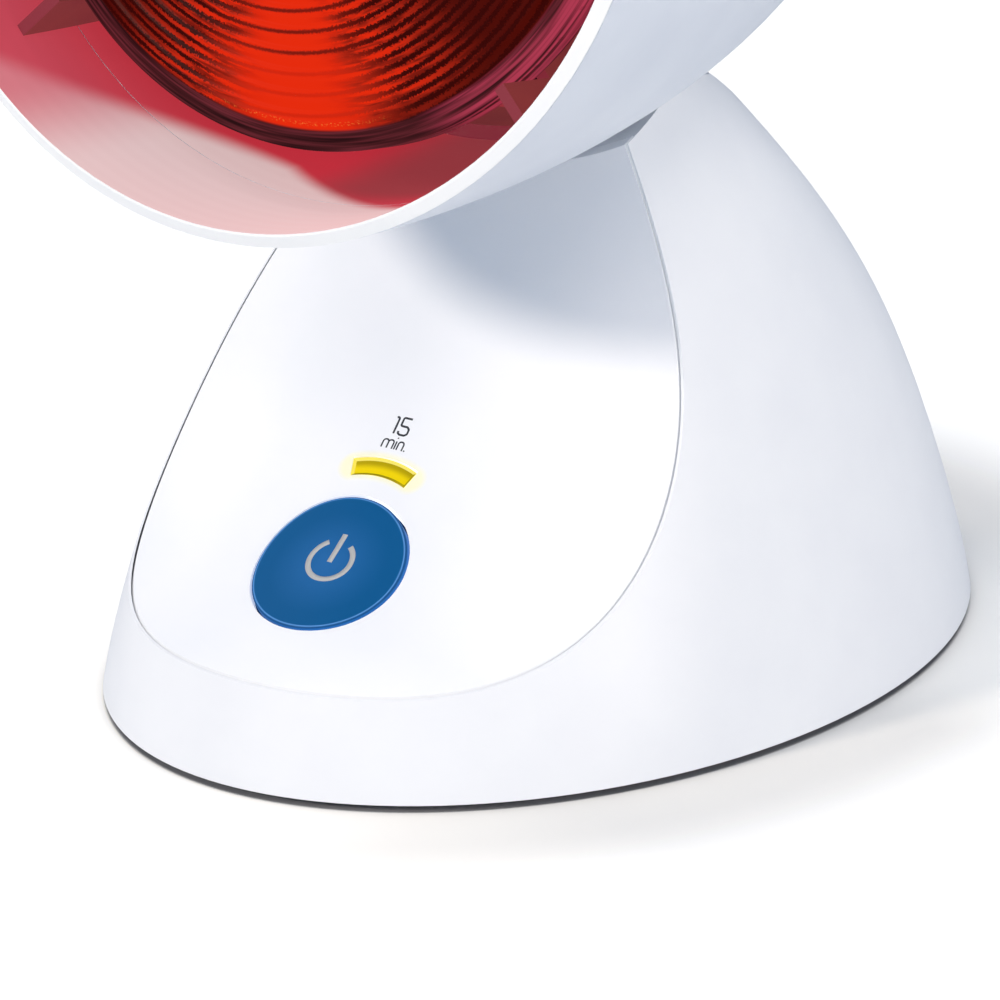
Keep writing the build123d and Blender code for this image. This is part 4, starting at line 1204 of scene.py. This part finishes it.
@dataclass
class IndicatorWindow(Piece):
    """The indicator's light guide, with a bevelled frame around its sunk face."""

    inner_radius: float = 17.8
    outer_radius: float = 21.1
    bevel: float = 0.5
    sunk: float = 0.3
    thickness: float = 2.1
    steps: int = 24

    def outline(self, inset: float, lift: float) -> list[Vector]:
        """Draws the ring sector's outline on the sweep.

        Args:
            inset: How far it is moved inwards.
            lift: Its height above the sweep.

        Returns:
            Its points in metres, in order.
        """
        points = []
        for radius, way in ((self.outer_radius - inset, 1), (self.inner_radius + inset, -1)):
            half = math.radians(WINDOW_HALF_ANGLE) - math.asin(inset / radius)
            for step in range(self.steps + 1):
                turn = way * half * (2 * step / self.steps - 1)
                place = SWEEP.point(radius * math.sin(turn), BUTTON_ARC + radius * math.cos(turn), lift)
                points.append(place * MM)
        return points

    def mesh(self) -> bpy.types.Mesh:
        """Joins the outlines into a closed mesh, from its underside to its sunk face.

        Returns:
            The mesh, with its finish.
        """
        levels = ((0.0, -self.thickness), (0.0, 0.0), (self.bevel, -self.sunk))
        rings = [self.outline(inset, lift) for inset, lift in levels]
        count = len(rings[0])
        top = (len(rings) - 1) * count
        faces = []
        for low in range(0, top, count):
            for index in range(count):
                after = (index + 1) % count
                faces.append((low + after, low + index, low + count + index, low + count + after))
        for far in range(self.steps):
            near = count - 1 - far
            faces.append((top + near, top + near - 1, top + far + 1, top + far))
            faces.append((far, far + 1, near - 1, near))
        mesh = bpy.data.meshes.new(self.name)
        mesh.from_pydata([point for ring in rings for point in ring], [], faces)
        mesh.materials.append(self.finish.material())
        return mesh


@dataclass
class PressedLens(GrownPiece):
    """The lamp's crowned lens, whose pressed rings follow one rule from the middle to the rim."""

    rim_radius: float = 60.5
    rim_depth: float = 15.1
    half: float = 57.0
    crown: float = 8.0
    wall: float = 2.6
    ring_count: int = 16
    ring_height: float = 0.55
    ring_sharpness: float = 1.6
    weld: float = 0.01
    seam: float = 0.005
    radial_steps: int = 272
    turn_steps: int = 176

    def sizes(self) -> dict[str, float]:
        """The disc's, the crown's and the rings' sizes."""
        sphere = (self.half**2 + self.crown**2) / (2 * self.crown)
        pitch = LENS_RUBY.ring_pitch
        return {
            "Rim Radius": self.rim_radius,
            "Sphere": sphere,
            "Sphere Z": self.crown - self.rim_depth - sphere,
            "Wall": self.wall,
            "Pitch": pitch,
            "First": LENS_RUBY.ring_first,
            "Ring Height": self.ring_height,
            "Ring End": LENS_RUBY.ring_first + (self.ring_count - 0.5) * pitch,
        }

    def shape(self, start: Signal) -> Signal:
        """Bends a grid to a crowned disc, raises its rings, gives it a wall and tips it to the head.

        Args:
            start: The tree's inputs.

        Returns:
            The closed lens.
        """
        graph = start.graph
        counts = {"Vertices X": self.radial_steps, "Vertices Y": self.turn_steps + 1}
        grid = graph.add("GeometryNodeMeshGrid", {"Size X": 1.0, "Size Y": 1.0, **counts})
        flat = graph.add("ShaderNodeSeparateXYZ", {0: graph.add("GeometryNodeInputPosition")})
        radius = (flat["X"] + 0.5) * start["Rim Radius"]
        turn = flat["Y"] * (2 * math.pi)
        dome = (start["Sphere"] * start["Sphere"] - radius * radius).to(Step.SQRT) + start["Sphere Z"]
        wave = ((radius - start["First"]) / start["Pitch"] * (2 * math.pi)).to(Step.COSINE)
        ridge = (wave * 0.5 + 0.5).to(Step.POWER, self.ring_sharpness)
        ridge = ridge * radius.to(Step.LESS_THAN, start["Ring End"]) * start["Ring Height"]
        bent = graph.add(
            "ShaderNodeCombineXYZ",
            {0: radius * turn.to(Step.COSINE), 1: radius * turn.to(Step.SINE), 2: dome + ridge},
        )
        disc = graph.add("GeometryNodeSetPosition", {"Geometry": grid, "Position": bent})
        welded = graph.add("GeometryNodeMergeByDistance", {"Geometry": disc, "Distance": self.weld * MM})
        down = graph.add("ShaderNodeCombineXYZ", {2: start["Wall"] * -1.0})
        pull = {"Mesh": welded, "Offset": down, "Offset Scale": 1.0, "Individual": False}
        pulled = graph.add("GeometryNodeExtrudeMesh", pull)
        back = graph.add("GeometryNodeFlipFaces", {"Mesh": welded})
        both = graph.add("GeometryNodeJoinGeometry", {0: [pulled, back]})
        closed = graph.add("GeometryNodeMergeByDistance", {"Geometry": both, "Distance": self.seam * MM})
        tipped = graph.add(
            "GeometryNodeTransform",
            {
                "Geometry": closed,
                "Translation": Vector(HEAD_PLACE.origin) * MM,
                "Rotation": (math.radians(HEAD_PLACE.turn), 0.0, 0.0),
            },
        )
        return graph.add("GeometryNodeSetShadeSmooth", {0: tipped})


# ---------------------------------------------------------------- studio


class SoftLamp(NamedTuple):
    """A round area lamp: its power in watts, its size and its place in metres, and its colour."""

    name: str
    power: float
    size: float
    place: Triple
    colour: str = "#FFF3E6"


@dataclass
class Studio:
    """Pale floor, white surroundings and soft lamps.

    The lee is the way that the painted soft shadow points, and the shadow's span is in shares of the lamp's
    foot.
    The foot, the contact's reach and the distance are in millimetres, and the floor in metres.
    """

    floor_half: float = 4.0
    paper_colour: str = "#E6E4DF"
    bounce_colour: str = "#D6DADE"
    painted_contact_shade: str = "#77777A"
    contact_reach: float = 50.0
    contact_span: Span = (0.36, 0.52)
    foot_half: Point = (64.0, 88.2)
    lee: Point = (0.81, 0.58)
    lee_span: Span = (-0.8, -0.2)
    middle_span: Span = (0.8, 1.0)
    middle_share: float = 0.6
    soft_shadow: float = 0.72
    shadow_span: Span = (1.16, 1.56)
    white_lift: float = 0.48
    open_span: Span = (0.3, 0.9)
    far_lift: float = 0.6
    far_span: Span = (350.0, 1100.0)
    sky_colour: str = "#7DC0FF"
    sky_strength: float = 0.31
    target: Triple = (0.0, -0.02, 0.1)
    lamps: tuple[SoftLamp, ...] = (
        SoftLamp("front_left_lamp", 28.5, 0.33, (-0.761, -1.945, 0.962)),
        SoftLamp("right_lamp", 25.0, 0.8, (2.15, 0.0, 0.56)),
        SoftLamp("high_left_lamp", 16.0, 0.8, (-1.06, -0.28, 2.0)),
        SoftLamp("back_right_lamp", 9.0, 0.8, (0.9, 0.63, 2.0)),
        SoftLamp("front_right_lamp", 8.0, 0.8, (0.9, -1.56, 1.36)),
    )

    def direct(self, graph: Graph) -> Signal:
        """Share of the rays that come from the camera, straight or through clear glass."""
        rays = graph.add("ShaderNodeLightPath")
        return rays["Is Camera Ray"].to(Step.MAXIMUM, rays["Is Transmission Ray"])

    def lift(self, graph: Graph, open_share: Signal) -> Signal:
        """How far the paper is lifted towards white: less beside the foot, which paints a soft shadow there,
        and fully in the distance.

        Args:
            graph: The shader.
            open_share: How open the paper is to its surroundings.

        Returns:
            The strength of the white that is added.
        """
        spot = LAMP_PLACE.point(graph)
        across, along = spot.x / self.foot_half[0], spot.y / self.foot_half[1]
        ring = (across * across + along * along).to(Step.SQRT)
        away = spot.radius()
        side = (spot.x * self.lee[0] + spot.y * self.lee[1]) / away
        middle = 1.0 - side.to(Step.SPREAD, *self.middle_span) * self.middle_share
        lee = side.to(Step.SPREAD, *self.lee_span) * middle
        # Painted soft shadow: the paper is lifted less in the lee, near the foot.
        near = 1.0 - ring.to(Step.SPREAD, *self.shadow_span)
        soft = near * lee * self.soft_shadow
        close = open_share.to(Step.SPREAD, *self.open_span) * (1.0 - soft) * self.white_lift
        return close + away.to(Step.SPREAD, *self.far_span) * self.far_lift

    def floor(self) -> None:
        """Lays the floor, which looks white to the camera, keeps the lamp's shadow and has painted shade by
        the foot.
        """
        half = self.floor_half
        mesh = bpy.data.meshes.new("studio_floor")
        corners = [(-half, -half, 0), (half, -half, 0), (half, half, 0), (-half, half, 0)]
        mesh.from_pydata(corners, [], [(0, 1, 2, 3)])
        made = bpy.data.materials.new("white_paper_sweep")
        graph = Graph.of(made)
        seen = self.direct(graph)
        reach = {"Distance": self.contact_reach * MM}
        open_share = graph.add("ShaderNodeAmbientOcclusion", reach, {"samples": 12}, "AO")
        # Painted contact shade: the paper darkens to the contact colour where the foot closes it in.
        near = open_share.to(Step.SPREAD, *self.contact_span)
        near = near.to(Step.BLEND, self.painted_contact_shade, self.paper_colour)
        colour = seen.to(Step.BLEND, self.bounce_colour, near)
        paper = graph.add("ShaderNodeBsdfDiffuse", {"Color": colour})
        strength = seen * self.lift(graph, open_share)
        glow = graph.add("ShaderNodeEmission", {"Color": WHITE, "Strength": strength})
        both = graph.add("ShaderNodeAddShader", {0: paper, 1: glow})
        graph.add("ShaderNodeOutputMaterial", {"Surface": both})
        mesh.materials.append(made)
        add_object("studio_floor", mesh)

    def sky(self) -> None:
        """Surrounds the lamp with even light, and shows white to the camera."""
        world = bpy.data.worlds.new("studio_sky")
        graph = Graph.of(world)
        light = {"Color": self.sky_colour, "Strength": self.sky_strength}
        even = graph.add("ShaderNodeBackground", light)
        white = graph.add("ShaderNodeBackground", {"Color": WHITE, "Strength": 1.0})
        seen = graph.add("ShaderNodeMixShader", {0: self.direct(graph), 1: even, 2: white})
        graph.add("ShaderNodeOutputWorld", {"Surface": seen})
        bpy.context.scene.world = world

    def lights(self) -> None:
        """Hangs the soft lamps."""
        for lamp in self.lamps:
            data = bpy.data.lights.new(lamp.name, "AREA")
            data.energy = lamp.power
            data.shape = "DISK"
            data.size = lamp.size
            data.color = linear(lamp.colour)[:3]
            aim(add_object(lamp.name, data), lamp.place, self.target)

    def build(self) -> None:
        """Sets up the whole studio."""
        self.floor()
        self.sky()
        self.lights()
        bpy.context.scene.view_settings.view_transform = "Standard"
        log.info("studio ready")


@dataclass
class Viewpoint:
    """The camera's place and target in metres, and its lens."""

    place: Triple = (0.72786, -1.03125, 0.47424)
    target: Triple = (-0.00601, -0.0043, 0.02404)
    lens: float = 288.0
    sensor: float = 36.0

    def build(self) -> None:
        """Makes the camera and sets it as the scene's."""
        data = bpy.data.cameras.new("main_camera")
        data.lens = self.lens
        data.sensor_width = self.sensor
        data.clip_start = 0.05
        camera = add_object("main_camera", data)
        aim(camera, self.place, self.target)
        bpy.context.scene.camera = camera


def main() -> None:
    """Builds the lamp's looks in order and reports each piece."""
    logging.basicConfig(level=logging.INFO, format="%(name)s: %(message)s")
    Viewpoint().build()
    Studio().build()
    dress_nodes()
    TimerLegend().build()
    PowerSymbol().build()
    window = ("indicator_bevel", Body.BASE, "indicator_yellow", WINDOW_YELLOW, ("indicator_window",))
    IndicatorWindow(*window).build()
    PressedLens("pressed_lens", Body.HEAD, "ruby_glass", LENS_RUBY, ("lamp_lens",)).build()


if __name__ == "__main__":
    main()
